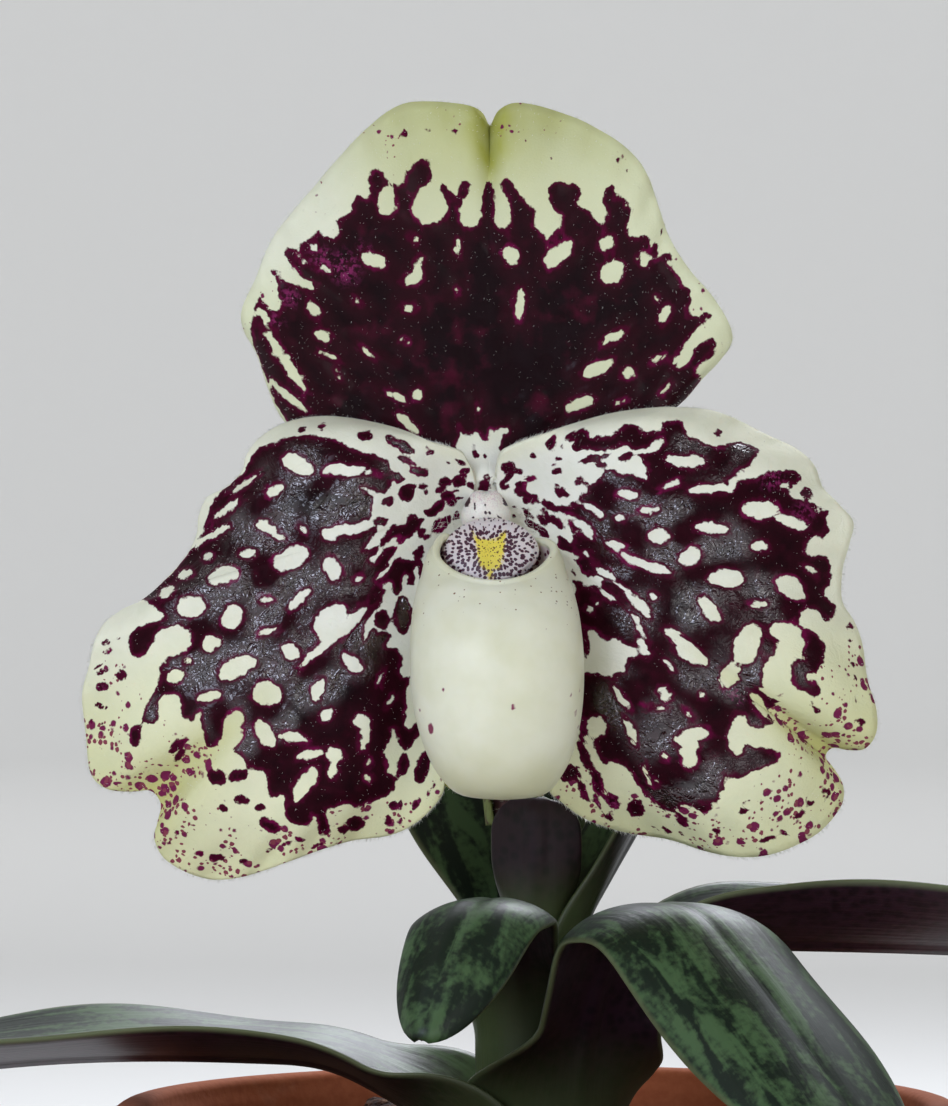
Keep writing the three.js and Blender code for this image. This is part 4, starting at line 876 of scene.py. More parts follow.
marks = {
    "stain": stain.clip(-3, 3),
    "flush": (0.30 * smooth(26, 36, z) + 0.45 * tip + 0.8 * bell(x, 1.5) * smooth(31, 38, z)).clip(0, 1)
             * bell(x, 17),
    "cool": 1 - smooth(0.06, 0.3, s) + 0.5 * smooth(-9, -17, x) * smooth(20, 28, z),
    "speck": 0.5 * smooth(0.78, 0.95, s) * smooth(12, 20, z) * smooth(-0.2, 0.8, swells(flat, 6, 8)),
    "faded": in_rounds(DORSAL_FADED, x, z),
    "waxy": 0.04 + 0 * s,
    "run": 2.2 * s,
    "fan": 34 * t,
}
front = 1.0 * (normal[..., 1].mean() < 0)
face = np.concatenate([np.full(x.size, front), np.full(len(points) - x.size, 1 - front)])
dorsal_flesh = bloom_finish("Sepal flesh, velvety maroon on cream", wrinkle=0.10, cream="#d9dbb6",
                            green="#a3a44a")
dorsal = make_piece("dorsal_sepal_flesh", points, faces, dorsal_flesh, face=face,
                    **{mark: both_sides(value, BACK_ROWS) for mark, value in marks.items()})
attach(dorsal, "root")
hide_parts("dorsal_sepal")
dorsal_down = fringe("dorsal_sepal_down", middle, normal, 1900, seed=21, body=3200)
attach(dorsal_down, "root")

# ---------------------------------------------------------------- petals
# Two broad, thick, drooping petals, rippled and rolled back at the rim and pinched at a notch on the outer
# side. Their maroon is puckered and waxy, with cream windows, and breaks into spots by the claw and the rim.

LEFT_CLAW = [[-1.6, 3.4], [-2.1, -0.6]]
LEFT_OUTLINE = [
    [-1.6, 4.2], [-1.8, 5.1], [-2.4, 6.2], [-3.1, 7.0], [-6.2, 7.9], [-10, 9.2], [-14, 10.1], [-17.6, 10.3],
    [-20.7, 9.6], [-23, 8.2], [-24.3, 6.5], [-24.8, 4.9], [-26.4, 3.2], [-28.3, 2.3], [-29.2, 0.4],
    [-29.4, -1.4], [-30.6, -3.8], [-33, -6.5], [-35.4, -8.5], [-37.9, -9.7], [-39.3, -11.6], [-40.2, -14.8],
    [-40.9, -17.8], [-40.5, -21.8], [-40.1, -25.2], [-38.6, -26.8], [-36, -27.2], [-34, -27.1], [-33, -28.4],
    [-33.3, -30.4], [-33.6, -32], [-32.6, -34], [-30, -35.5], [-27.2, -36.1], [-23.6, -35.4], [-19, -33.7],
    [-14.5, -32.2], [-10, -31.5], [-7.2, -30.1], [-4.9, -27.6], [-4.6, -25.4], [-5.6, -20], [-6, -14],
    [-4.8, -7], [-3.4, -2.2],
]
LEFT_STAIN = [
    [-8.5, 4.0], [-8.9, 4.35], [-9.1, 4.8], [-10.2, 5.0], [-10.3, 5.6], [-10.8, 6.1], [-11.6, 6.4],
    [-13.4, 6.9], [-14.8, 7.7], [-17, 8.1], [-19.2, 8.0], [-21.6, 7.6], [-23.6, 6.2], [-25.0, 4.2],
    [-26.8, 2.6], [-28.0, 0.6], [-28.8, -1.4], [-30.2, -3.4], [-31.6, -5.2], [-33.4, -6.6], [-34.9, -8.0],
    [-33.4, -8.8], [-32.2, -9.6], [-34.2, -10.4], [-35.6, -11.4], [-35.6, -13.2], [-34.6, -13.6],
    [-33.6, -12.2], [-32.4, -10.6], [-30.6, -10.6], [-31.0, -12.6], [-32.6, -14.6], [-33.2, -16.8],
    [-34.4, -19.4], [-34.4, -20.2], [-33.0, -20.0], [-32.5, -17.8], [-30.8, -17.6], [-30.6, -19.6],
    [-29.4, -19.9], [-28.6, -19.2], [-28.4, -21.8], [-27.6, -22.6], [-26.6, -21.6], [-26.2, -19.4],
    [-24.6, -19.0], [-24.6, -21.6], [-25.6, -22.8], [-24.6, -23.4], [-23.4, -24.8], [-22.4, -25.0],
    [-21.8, -27.2], [-20.6, -27.4], [-20.4, -29.2], [-19.6, -30.2], [-18.2, -30.2], [-17.6, -29.4],
    [-17.2, -30.8], [-16.2, -31.2], [-16.0, -30.0], [-16.4, -28.9], [-15.5, -28.7], [-14.9, -28.3],
    [-14.2, -28.0], [-13.5, -28.4], [-12.5, -28.0], [-11.2, -27.6], [-10.2, -27.3], [-9.4, -26.0],
    [-9.6, -25.3], [-10.2, -25.0], [-10.4, -24.2], [-10.6, -22.9], [-10.1, -21.8], [-9.8, -20.8],
    [-9.4, -21.8], [-9.1, -22.6], [-8.5, -23.0], [-7.8, -22.3], [-7.0, -21.4], [-7.3, -19.8], [-8.2, -20.6],
    [-8.5, -20.0], [-8.4, -18.6], [-8.7, -17.3], [-8.3, -16.4], [-8.3, -15.6], [-8.8, -15.5], [-9.1, -14.9],
    [-8.9, -14.0], [-9.0, -13.3], [-9.4, -12.8], [-10.4, -12.6], [-10.1, -12.2], [-10.1, -11.3],
    [-11.2, -11.1], [-11.9, -10.9], [-12.2, -11.2], [-12.6, -12.0], [-12.6, -10.6], [-11.9, -9.3],
    [-11.1, -8.4], [-10.9, -7.5], [-10.5, -6.6], [-10.2, -6.2], [-10.0, -6.6], [-10.1, -7.1], [-9.5, -7.4],
    [-9.0, -7.0], [-8.8, -6.4], [-8.75, -5.9], [-8.3, -5.7], [-8.25, -6.3], [-7.8, -6.7], [-7.5, -6.2],
    [-7.7, -5.3], [-7.5, -4.7], [-7.3, -5.4], [-7.2, -6.0], [-6.9, -5.2], [-6.8, -4.4], [-7.4, -4.0],
    [-8.0, -4.0], [-8.8, -4.1], [-9.0, -3.7], [-9.5, -3.75], [-9.9, -3.9], [-10.1, -4.3], [-9.7, -3.4],
    [-9.5, -2.7], [-10.1, -2.6], [-10.7, -2.95], [-11.2, -2.85], [-11.3, -2.6], [-10.7, -2.5], [-10.2, -2.2],
    [-9.6, -1.7], [-9.35, -1.7], [-9.4, -2.1], [-9.1, -2.35], [-8.6, -2.0], [-8.0, -1.6], [-7.4, -0.9],
    [-6.95, -0.4], [-6.8, 0.2], [-7.2, 0.35], [-7.7, 0.55], [-8.2, 0.5], [-8.6, 0.1], [-8.8, -0.4],
    [-9.2, -0.45], [-9.6, -0.3], [-10.1, -0.5], [-10.5, -1.3], [-11.0, -2.0], [-11.4, -2.6], [-12.1, -2.9],
    [-12.6, -2.9], [-12.3, -2.3], [-11.7, -1.6], [-11.5, -0.9], [-12.2, -0.75], [-13.0, -0.9], [-12.9, -0.35],
    [-12.1, -0.1], [-11.8, 0.6], [-11.7, 1.4], [-11.7, 2.3], [-12.2, 2.6], [-12.8, 3.1], [-12.2, 3.0],
    [-11.3, 2.6], [-10.7, 2.7], [-10.1, 3.2], [-10.0, 3.9], [-9.3, 3.7],
]
LEFT_WINDOWS = [
    [-14.5, 4.9, 1.9, 0.5, 5], [-19.0, 5.4, 1.5, 0.85, -25], [-21.3, 3.0, 0.85, 0.35, 35],
    [-16.0, -1.5, 0.7, 0.6, 0], [-13.6, -0.8, 2.1, 0.5, 12], [-22.1, -0.8, 1.2, 0.5, -10],
    [-20.7, -1.7, 0.6, 0.25, -30], [-23.9, -3.5, 0.8, 0.45, 0], [-19.7, -3.9, 1.9, 0.9, 25],
    [-26.4, -5.7, 1.5, 0.7, 16], [-15.7, -4.9, 1.3, 0.75, -62], [-29.6, -8.6, 1.5, 0.95, 15],
    [-25.5, -9.6, 1.25, 0.95, 75], [-28.0, -3.9, 0.5, 0.35, 0], [-30.3, -5.7, 0.85, 0.35, 15],
    [-32.0, -7.4, 0.85, 0.45, 28], [-18.9, -7.9, 1.45, 0.42, 42], [-22.1, -7.9, 0.75, 0.25, 0],
    [-27.7, -12.3, 0.85, 0.8, 0], [-22.0, -11.1, 0.95, 0.28, 18], [-25.0, -14.6, 2.0, 1.0, 22],
    [-15.8, -10.2, 1.9, 1.5, 50], [-15.6, -11.6, 4.3, 0.5, 42], [-19.8, -13.0, 0.95, 0.75, -30],
    [-31.2, -15.5, 1.0, 0.65, 10], [-29.9, -14.0, 0.45, 0.3, 0], [-27.7, -17.5, 1.2, 0.45, 10],
    [-22.1, -17.2, 1.5, 1.15, -10], [-17.0, -16.8, 1.15, 0.55, 72], [-13.7, -14.2, 1.1, 0.55, -35],
    [-16.2, -19.3, 0.7, 0.5, 60], [-12.75, -20.0, 0.7, 0.6, 0], [-12.6, -21.4, 1.4, 0.35, 85],
    [-22.3, -21.2, 1.5, 0.8, -52], [-19.6, -21.6, 1.4, 0.45, -14], [-17.8, -23.2, 1.3, 0.4, 12],
    [-15.4, -23.3, 0.8, 0.75, 0], [-15.5, -24.6, 0.9, 0.4, 75], [-18.4, -26.2, 2.0, 0.75, 58],
    [-25.2, -20.3, 1.4, 0.65, 70], [-31.2, -12.0, 1.6, 1.2, 20], [-10.15, -17.95, 0.5, 0.13, 55],
    [-11.0, -15.7, 0.5, 0.14, 80], [-12.2, -25.65, 0.28, 0.25, 0], [-12.2, -24.0, 0.4, 0.12, 70],
    [-10.65, -5.1, 1.3, 0.2, 55], [-11.5, -3.6, 0.8, 0.26, 55], [-11.9, 4.55, 0.6, 0.14, -8],
    [-13.2, -5.85, 0.45, 0.22, 30], [-19.4, -4.2, 0.8, 0.6, 0], [-24.3, 3.4, 1.5, 0.28, 35],
    [-26.2, 0.9, 1.6, 0.3, 38], [-28.6, -2.0, 1.0, 0.25, 40], [-26.8, -1.2, 1.2, 0.3, 25],
    [-18.5, -1.0, 0.4, 0.2, -40],
]
LEFT_SPOTS = [
    [-12.5, 8.1, 0.8, 0.55, 0], [-9.2, 7.35, 1.7, 0.52, -30], [-8.4, 5.85, 0.95, 0.28, -18],
    [-7.3, 4.9, 0.88, 0.55, 0], [-8.55, 2.65, 0.92, 0.92, 0], [-10.3, 1.95, 0.5, 0.45, 0],
    [-6.9, 3.35, 0.6, 0.3, 12], [-6.7, 2.9, 0.32, 0.3, 0], [-3.0, 6.05, 0.48, 0.28, -20],
    [-2.75, 5.1, 0.6, 0.33, 8], [-2.9, 4.6, 0.4, 0.22, 0], [-3.35, 3.95, 0.68, 0.65, -20],
    [-4.65, 3.8, 0.8, 0.5, 25], [-5.1, 3.05, 0.55, 0.32, 20], [-2.0, 3.45, 0.5, 0.42, -30],
    [-3.6, 2.9, 0.45, 0.16, 10], [-4.5, 2.35, 0.85, 0.5, 20], [-4.05, 1.7, 0.6, 0.42, 30],
    [-3.15, 2.3, 0.45, 0.17, -10], [-5.8, 1.1, 1.05, 0.62, 32], [-3.45, 0.6, 0.42, 0.42, 0],
    [-11.05, -0.1, 0.8, 0.5, 25], [-5.5, -0.6, 0.78, 0.38, 52], [-4.4, 0.05, 0.6, 0.38, 35],
    [-5.0, -0.95, 0.75, 0.28, 45], [-7.0, -1.25, 0.58, 0.36, 65], [-6.5, -1.6, 0.38, 0.24, 50],
    [-7.3, -3.3, 0.9, 0.45, 65], [-6.2, 6.75, 0.45, 0.22, 0], [-6.3, 7.2, 0.2, 0.16, 0],
    [-4.3, 5.8, 0.16, 0.1, -40], [-4.2, -0.2, 0.5, 0.22, 45], [-10.9, -9.95, 1.0, 0.8, 80],
    [-8.85, -9.4, 2.0, 0.95, 90], [-16.7, 8.9, 0.4, 0.35, 0], [-18.6, 8.6, 0.42, 0.35, 0],
    [-8.8, -24.4, 1.25, 0.62, 75], [-6.8, -24.7, 1.5, 0.8, 78], [-9.7, -28.5, 0.55, 0.45, -40],
    [-8.95, -28.4, 0.25, 0.5, 0], [-7.4, -28.2, 0.65, 0.35, 70], [-10.2, -29.8, 0.3, 0.48, 0],
    [-8.9, -29.9, 0.2, 0.6, 5], [-13.5, -30.1, 1.0, 0.9, 20], [-14.9, -30.5, 0.55, 0.6, 60],
    [-6.2, -27.2, 0.22, 0.25, 0], [-5.7, -26.6, 0.15, 0.25, 0], [-35.2, -21.5, 1.05, 0.6, 78],
    [-31.0, -22.2, 1.2, 0.42, 30], [-27.1, -25.5, 1.0, 0.85, 0], [-25.0, -25.3, 1.1, 0.6, 22],
    [-24.7, -27.7, 0.75, 0.45, -10], [-26.6, -28.6, 0.5, 0.55, 0], [-22.8, -28.6, 0.6, 0.4, 10],
    [-21.8, -30.2, 1.15, 0.6, -15], [-19.0, -31.6, 0.4, 0.28, 0], [-30.9, -23.2, 0.7, 0.3, 50],
    [-38.1, -12.1, 0.45, 0.3, 0], [-36.9, -11.7, 0.3, 0.25, 0], [-39.0, -14.6, 0.6, 0.25, 20],
    [-38.0, -13.0, 0.4, 0.2, 20], [-36.6, -15.4, 0.45, 0.55, 0], [-38.6, -16.6, 0.75, 0.45, 5],
    [-38.4, -15.2, 0.8, 0.2, 12], [-38.8, -18.6, 0.8, 0.25, -20], [-39.8, -20.2, 0.3, 0.3, 0],
    [-38.6, -20.6, 0.25, 0.2, 0], [-22.0, -32.8, 0.5, 0.2, 30], [-20.4, -32.2, 0.7, 0.22, 24],
    [-17.2, -32.4, 0.8, 0.25, 15], [-27.3, -33.6, 0.9, 0.35, -10], [-29.0, -33.2, 0.5, 0.4, 0],
    [-24.8, -34.0, 0.5, 0.25, 20], [-31.2, -31.2, 0.3, 0.4, 0], [-32.0, -32.0, 0.35, 0.3, 0],
]

RIGHT_CLAW = [[0.6, 3.4], [1.4, -0.6]]
RIGHT_OUTLINE = [
    [0.6, 4.1], [0.6, 5.0], [0.8, 6.1], [1.3, 7.0], [3.0, 7.8], [5.0, 8.5], [8.4, 9.5], [12, 10.5],
    [16, 11.1], [20.4, 11.2], [24, 10.4], [27.2, 8.8], [30.6, 7.2], [32.5, 5.4], [33.3, 3.2], [34.9, 1.5],
    [36.3, -0.2], [35.9, -2.4], [35.3, -5], [35.3, -8], [36.6, -10.3], [37.4, -12.8], [37.8, -16.2],
    [38.6, -18.8], [38.6, -21.2], [37.6, -22.8], [36, -23], [34.4, -22.8], [33.7, -23.8], [34.7, -25.2],
    [35.5, -27], [35.1, -29], [32.8, -31.4], [29.2, -33.1], [25.4, -33.7], [21.6, -33.1], [18, -32],
    [14, -31.4], [10, -30.1], [7.2, -28.2], [5.8, -26.4], [6.4, -21], [6.9, -15], [5.4, -7], [3.3, -2.2],
]
RIGHT_STAIN = [
    [11.1, 4.1], [11.6, 4.9], [12.2, 5.0], [13.0, 4.7], [13.9, 4.7], [14.6, 4.4], [15.6, 4.0], [15.2, 5.6],
    [14.6, 6.4], [16.0, 6.8], [17.0, 7.2], [16.8, 8.0], [15.6, 7.2], [14.4, 6.9], [13.6, 7.2], [12.8, 7.2],
    [12.2, 6.9], [10.8, 6.8], [9.8, 7.05], [8.8, 6.95], [8.3, 7.2], [8.5, 7.7], [7.9, 7.65], [7.5, 8.0],
    [8.0, 8.4], [8.6, 8.6], [9.2, 8.9], [9.9, 8.5], [10.2, 8.1], [11.5, 8.3], [12.3, 8.5], [13.0, 8.9],
    [14.4, 9.3], [15.2, 8.6], [16.8, 8.8], [17.4, 9.6], [19.0, 9.6], [19.4, 8.2], [20.6, 7.8], [22.6, 7.2],
    [24.6, 7.6], [26.6, 6.8], [26.0, 5.4], [24.0, 4.0], [25.6, 4.0], [27.0, 4.4], [29.4, 5.0], [31.0, 4.0],
    [29.6, 2.6], [30.6, 1.8], [32.6, 1.4], [33.4, 0.2], [33.4, -2.0], [32.2, -3.0], [33.6, -3.6],
    [34.0, -5.6], [33.2, -7.4], [34.4, -8.4], [34.0, -9.8], [33.2, -10.4], [32.4, -9.2], [31.2, -9.0],
    [30.6, -10.4], [32.0, -11.2], [33.2, -12.6], [32.6, -15.0], [31.4, -15.4], [31.8, -16.8], [30.6, -17.0],
    [29.8, -15.4], [30.0, -12.6], [29.4, -11.4], [28.2, -14.0], [29.2, -16.8], [28.4, -18.2], [27.6, -19.2],
    [28.0, -20.2], [26.0, -20.6], [24.8, -19.6], [24.6, -21.6], [26.2, -22.6], [28.8, -23.0], [28.2, -24.2],
    [25.6, -25.2], [23.0, -26.6], [22.6, -27.8], [20.6, -28.2], [19.2, -28.2], [18.2, -28.9], [17.4, -28.6],
    [16.6, -28.0], [15.6, -27.5], [15.0, -26.6], [14.3, -25.5], [13.5, -24.6], [12.8, -23.9], [12.1, -24.0],
    [11.6, -24.3], [10.6, -23.0], [10.2, -22.2], [9.9, -22.7], [9.0, -22.6], [8.9, -21.0], [9.0, -18.0],
    [9.0, -15.4], [10.8, -15.0], [12.0, -15.4], [12.6, -15.1], [13.6, -15.0], [13.5, -14.2], [13.8, -13.7],
    [14.6, -13.4], [15.6, -13.5], [15.0, -12.9], [14.2, -12.8], [13.0, -12.2], [12.5, -11.7], [11.8, -12.1],
    [11.0, -11.5], [10.4, -10.8], [9.9, -11.2], [10.1, -12.6], [10.1, -13.6], [9.6, -13.7], [9.2, -12.0],
    [9.0, -10.0], [8.6, -8.4], [8.7, -7.2], [9.3, -6.6], [10.2, -6.3], [10.9, -6.6], [11.1, -7.2],
    [11.2, -6.0], [11.8, -5.8], [12.4, -6.2], [12.9, -6.9], [13.5, -7.4], [13.9, -7.6], [13.2, -6.8],
    [12.5, -5.8], [12.2, -5.0], [11.4, -4.9], [10.6, -4.5], [10.2, -3.8], [10.1, -3.2], [9.4, -3.1],
    [9.0, -3.5], [8.5, -3.3], [8.2, -3.7], [7.9, -3.3], [7.7, -2.9], [8.1, -2.4], [8.6, -2.1], [8.3, -1.6],
    [8.6, -1.2], [8.2, -0.6], [7.85, -0.1], [8.1, 0.2], [8.4, 0.1], [9.0, -0.55], [9.7, -1.5], [10.1, -1.75],
    [10.6, -1.5], [10.4, -0.9], [9.9, -0.4], [9.2, -0.2], [8.5, 0.45], [8.0, 0.4], [7.3, 0.6], [6.7, 1.0],
    [7.2, 1.35], [8.1, 1.3], [8.1, 1.8], [8.7, 1.9], [9.3, 1.5], [9.7, 1.2], [10.3, 0.7], [11.0, 0.15],
    [11.3, 0.6], [10.9, 1.1], [10.2, 1.55], [9.3, 1.7], [8.85, 2.0], [8.85, 2.4], [9.6, 2.5], [9.8, 3.1],
    [9.7, 3.7], [10.3, 3.6],
]
RIGHT_WINDOWS = [
    [19.4, 5.7, 2.0, 0.6, -6], [21.6, 3.0, 2.0, 0.42, 4], [23.7, 3.3, 0.75, 0.4, 60],
    [17.8, 3.4, 0.9, 0.2, 20], [13.7, 2.5, 0.9, 0.38, 0], [26.7, 0.9, 1.75, 0.78, 0],
    [15.7, 0.9, 1.0, 0.26, 10], [13.0, 0.2, 0.5, 0.3, -30], [21.9, -0.8, 1.7, 0.5, -5],
    [16.8, -1.6, 1.0, 0.75, 0], [19.8, -3.7, 1.15, 0.85, 35], [26.7, -2.6, 0.8, 0.55, 0],
    [23.3, -5.9, 1.75, 0.98, 0], [29.8, -6.8, 1.65, 0.95, -30], [32.2, -2.5, 1.1, 0.85, 30],
    [30.0, -0.2, 1.5, 0.55, -22], [31.7, -4.9, 0.9, 0.3, -52], [26.6, -8.4, 0.95, 0.3, 5],
    [21.7, -8.9, 1.5, 0.6, -55], [12.5, -2.5, 0.9, 0.42, -10], [13.2, -3.4, 1.2, 0.25, -40],
    [15.7, -4.6, 2.2, 0.45, -20], [14.9, -8.6, 1.5, 0.42, -50], [16.2, -7.5, 0.4, 0.45, 0],
    [11.9, -7.6, 0.8, 0.3, -40], [10.65, -8.1, 0.28, 0.28, 0], [10.15, -9.0, 0.3, 0.36, 0],
    [14.8, -10.6, 1.6, 0.22, -62], [15.2, -12.7, 0.9, 0.36, -60], [18.0, -11.3, 1.0, 0.5, -45],
    [20.0, -13.2, 1.9, 0.85, -34], [25.4, -12.5, 2.1, 1.2, 68], [23.8, -15.4, 1.5, 0.8, 50],
    [29.2, -11.2, 1.6, 0.95, -8], [30.2, -12.6, 1.2, 0.9, 80], [28.2, -15.4, 2.0, 1.2, 84],
    [17.3, -17.1, 0.75, 0.6, 0], [16.2, -18.6, 1.0, 0.25, -10], [13.1, -17.6, 1.3, 0.28, -55],
    [19.5, -19.1, 0.6, 0.22, -60], [21.0, -17.4, 0.4, 0.28, 0], [17.7, -14.4, 0.8, 0.18, -52],
    [10.8, -20.4, 1.1, 1.0, 30], [10.0, -21.9, 0.9, 0.4, 55], [14.0, -20.9, 1.4, 0.35, -70],
    [20.0, -21.3, 1.9, 0.6, 10], [19.8, -23.2, 1.4, 0.8, 90], [24.4, -21.4, 2.0, 0.75, 88],
    [26.6, -18.2, 1.6, 0.5, -65], [23.4, -25.5, 0.5, 0.25, 0], [17.25, -23.6, 0.3, 0.35, 0],
    [15.7, -24.9, 0.8, 0.2, -60], [16.4, -25.9, 0.45, 0.2, -10], [32.4, 0.8, 0.5, 0.2, 20],
    [27.4, -16.8, 0.5, 0.3, 0], [18.6, -21.9, 0.4, 0.5, 0], [29.2, 3.2, 0.5, 0.3, 40],
    [30.8, -13.9, 0.3, 0.28, 0],
]
RIGHT_SPOTS = [
    [6.3, 7.55, 0.6, 0.62, 0], [7.45, 7.25, 0.18, 0.14, 0], [4.4, 6.55, 0.3, 0.2, 0],
    [7.0, 6.35, 0.35, 0.18, 0], [13.5, 6.2, 0.75, 0.35, 22], [1.9, 5.5, 0.75, 0.42, 0],
    [2.7, 5.15, 0.8, 0.4, -10], [2.1, 4.7, 0.55, 0.35, 40], [1.55, 4.2, 0.6, 0.38, 40],
    [1.0, 3.6, 0.35, 0.5, 0], [1.55, 3.2, 0.6, 0.28, 8], [3.3, 3.35, 0.66, 0.46, 0],
    [3.6, 2.6, 1.35, 0.38, -15], [4.1, 1.9, 0.62, 0.6, 0], [4.95, 2.1, 0.28, 0.5, 20],
    [4.4, 4.2, 0.65, 0.33, -25], [6.95, 4.8, 0.5, 0.5, 0], [7.4, 2.9, 0.72, 0.56, -25],
    [9.05, 3.85, 0.5, 0.42, -20], [6.1, 1.5, 0.95, 0.42, -42], [5.2, 1.05, 0.2, 0.28, 0],
    [5.85, 0.1, 0.62, 0.62, 0], [5.3, 0.0, 0.3, 0.28, 0], [7.25, -0.35, 0.8, 0.45, -45],
    [7.25, -2.25, 0.5, 0.75, 10], [5.5, -1.25, 0.75, 0.36, -52], [2.35, 1.5, 0.2, 0.12, 0],
    [3.6, 1.1, 0.45, 0.15, -30], [4.05, 0.55, 0.55, 0.38, -35], [2.45, 0.4, 0.28, 0.16, 60],
    [4.4, -0.5, 0.75, 0.4, -40], [10.5, 6.1, 1.6, 0.3, 12], [11.0, 5.6, 0.8, 0.3, -35],
    [9.8, -4.55, 1.1, 0.8, -55], [8.65, -6.0, 0.95, 0.3, -68], [6.6, 5.7, 0.3, 0.12, 20],
    [31.5, 2.4, 0.65, 0.6, 0], [22.5, 8.4, 0.5, 0.28, 15], [33.4, 0.8, 0.28, 0.4, 0],
    [32.6, 3.6, 0.2, 0.35, 0], [29.6, -19.4, 0.25, 0.2, 0], [32.2, -16.8, 1.1, 0.4, -66],
    [32.4, -18.6, 1.0, 0.28, -52], [8.1, -25.2, 1.2, 0.75, 35], [9.3, -26.9, 1.2, 0.48, -65],
    [9.6, -23.6, 1.6, 0.42, -68], [10.7, -26.0, 1.6, 0.55, -72], [10.7, -28.0, 0.7, 0.35, 90],
    [12.3, -27.9, 1.0, 0.66, -40], [11.95, -29.5, 0.48, 0.48, 0], [14.6, -28.6, 0.95, 0.95, 0],
    [21.4, -28.4, 1.0, 0.5, 15], [19.4, -29.8, 0.66, 0.66, 0], [25.2, -28.7, 1.05, 0.42, 60],
    [22.6, -30.8, 0.42, 0.45, 0], [17.8, -30.9, 0.55, 0.35, -30], [19.2, -31.2, 0.4, 0.2, -40],
    [16.4, -30.6, 0.3, 0.2, 0], [36.0, -10.8, 0.5, 0.35, 70], [35.6, -12.0, 0.35, 0.25, 0],
    [36.0, -14.6, 0.55, 0.25, 10], [36.2, -16.2, 0.6, 0.2, 60], [36.6, -18.0, 0.9, 0.28, -60],
    [36.8, -20.2, 0.8, 0.3, -40], [35.6, -21.4, 0.4, 0.3, 60], [27.6, -31.8, 1.0, 0.22, 12],
    [29.2, -31.2, 0.7, 0.3, -20], [30.9, -29.4, 0.7, 0.35, 30], [31.6, -28.2, 0.5, 0.35, 0],
    [32.8, -26.8, 0.5, 0.25, 40], [34.0, -25.6, 0.35, 0.2, -20], [33.6, -27.6, 0.6, 0.22, 40],
]


def petal_depth(x, z, s, t, notch_at, phase, fine_phase):
    """Swells forward between claw and rim, rolls back along the rim, ripples round it, and is pinched where
    the rim is notched. t runs round the outline from the upper side to the lower."""
    beyond = smooth(4.5, 14, np.abs(x))
    seat = -1.6 + 3.1 * smooth(0, 7, np.hypot(np.abs(x) - 1.5, z - np.clip(z, -0.6, 3.4)))
    swell = 3.6 * beyond * np.sin(np.pi * s**0.9)
    roll = -2.6 * beyond * smooth(0.74, 1, s) ** 2 * (1 - smooth(0.7, 0.9, t))
    ripple = 1.5 * beyond * s**4 * np.sin(12 * np.pi * t + phase)
    pinch = -1.6 * bell(t - notch_at, 0.035) * smooth(0.7, 1, s)
    fine = 0.25 * beyond * smooth(0.8, 1, s) * np.sin(2 * np.pi * 27 * t + fine_phase)
    return seat + swell + roll + ripple + pinch + fine


waxy_flesh = bloom_finish("Petal flesh, waxy puckered maroon on cream", wrinkle=1.0, cream="#e2e2b8",
                          green="#bdbb72")
# Soft rounds [right, up, radius] where the maroon is waxy and wrinkled, and where it is washed out.
LEFT_WAXY = [
    [-19, 3, 5.5], [-14, 1.5, 5], [-22, -1.5, 5.5], [-24.5, -6, 6], [-20, -7, 5], [-27.5, -10.5, 5.5],
    [-23, -13, 6], [-30, -14.5, 4.5], [-33, -17.5, 3.5], [-15, -5, 4], [-14, -12.5, 4.5], [-18, -15, 5],
    [-26.5, -19, 3.5], [-9, 6, 3], [-21, -20, 2.5], [-24.8, -22, 2.5], [-9.5, -9, 2.5],
]
RIGHT_WAXY = [
    [11, 4, 3.5], [13.5, 0.5, 5], [18, -2, 5], [20, 6.5, 3], [23, 6.5, 3.5], [23, -2, 4], [20, -9, 4.5],
    [26, -8, 4.5], [15, -9, 3.5], [13, -7, 3], [21, -14, 4], [25, -15, 4.5], [29, -15.5, 3], [13.5, -18, 4],
    [17, -21, 4.5], [20, -25, 4.5], [26, -22.5, 3.5], [17, -27, 3], [31, -12, 2.5],
]
LEFT_FADED = [[-6.2, 6.9, 1.3], [-8.2, 5.9, 0.8], [-39, -17, 1.2], [-21, -32.5, 1.2], [-9, -29.2, 1.3],
              [-7.4, -28.2, 0.9]]
RIGHT_FADED = [[28, 4, 1.7], [31, 0.5, 1.4], [24.4, -17.6, 0.9], [12.4, -28.2, 1.5], [10.7, -28, 0.9],
               [6.6, 5.6, 0.6]]
TUFT_HAIRS = 40  # long bent hairs at the foot of a petal
PETAL_GRID = 142, 400
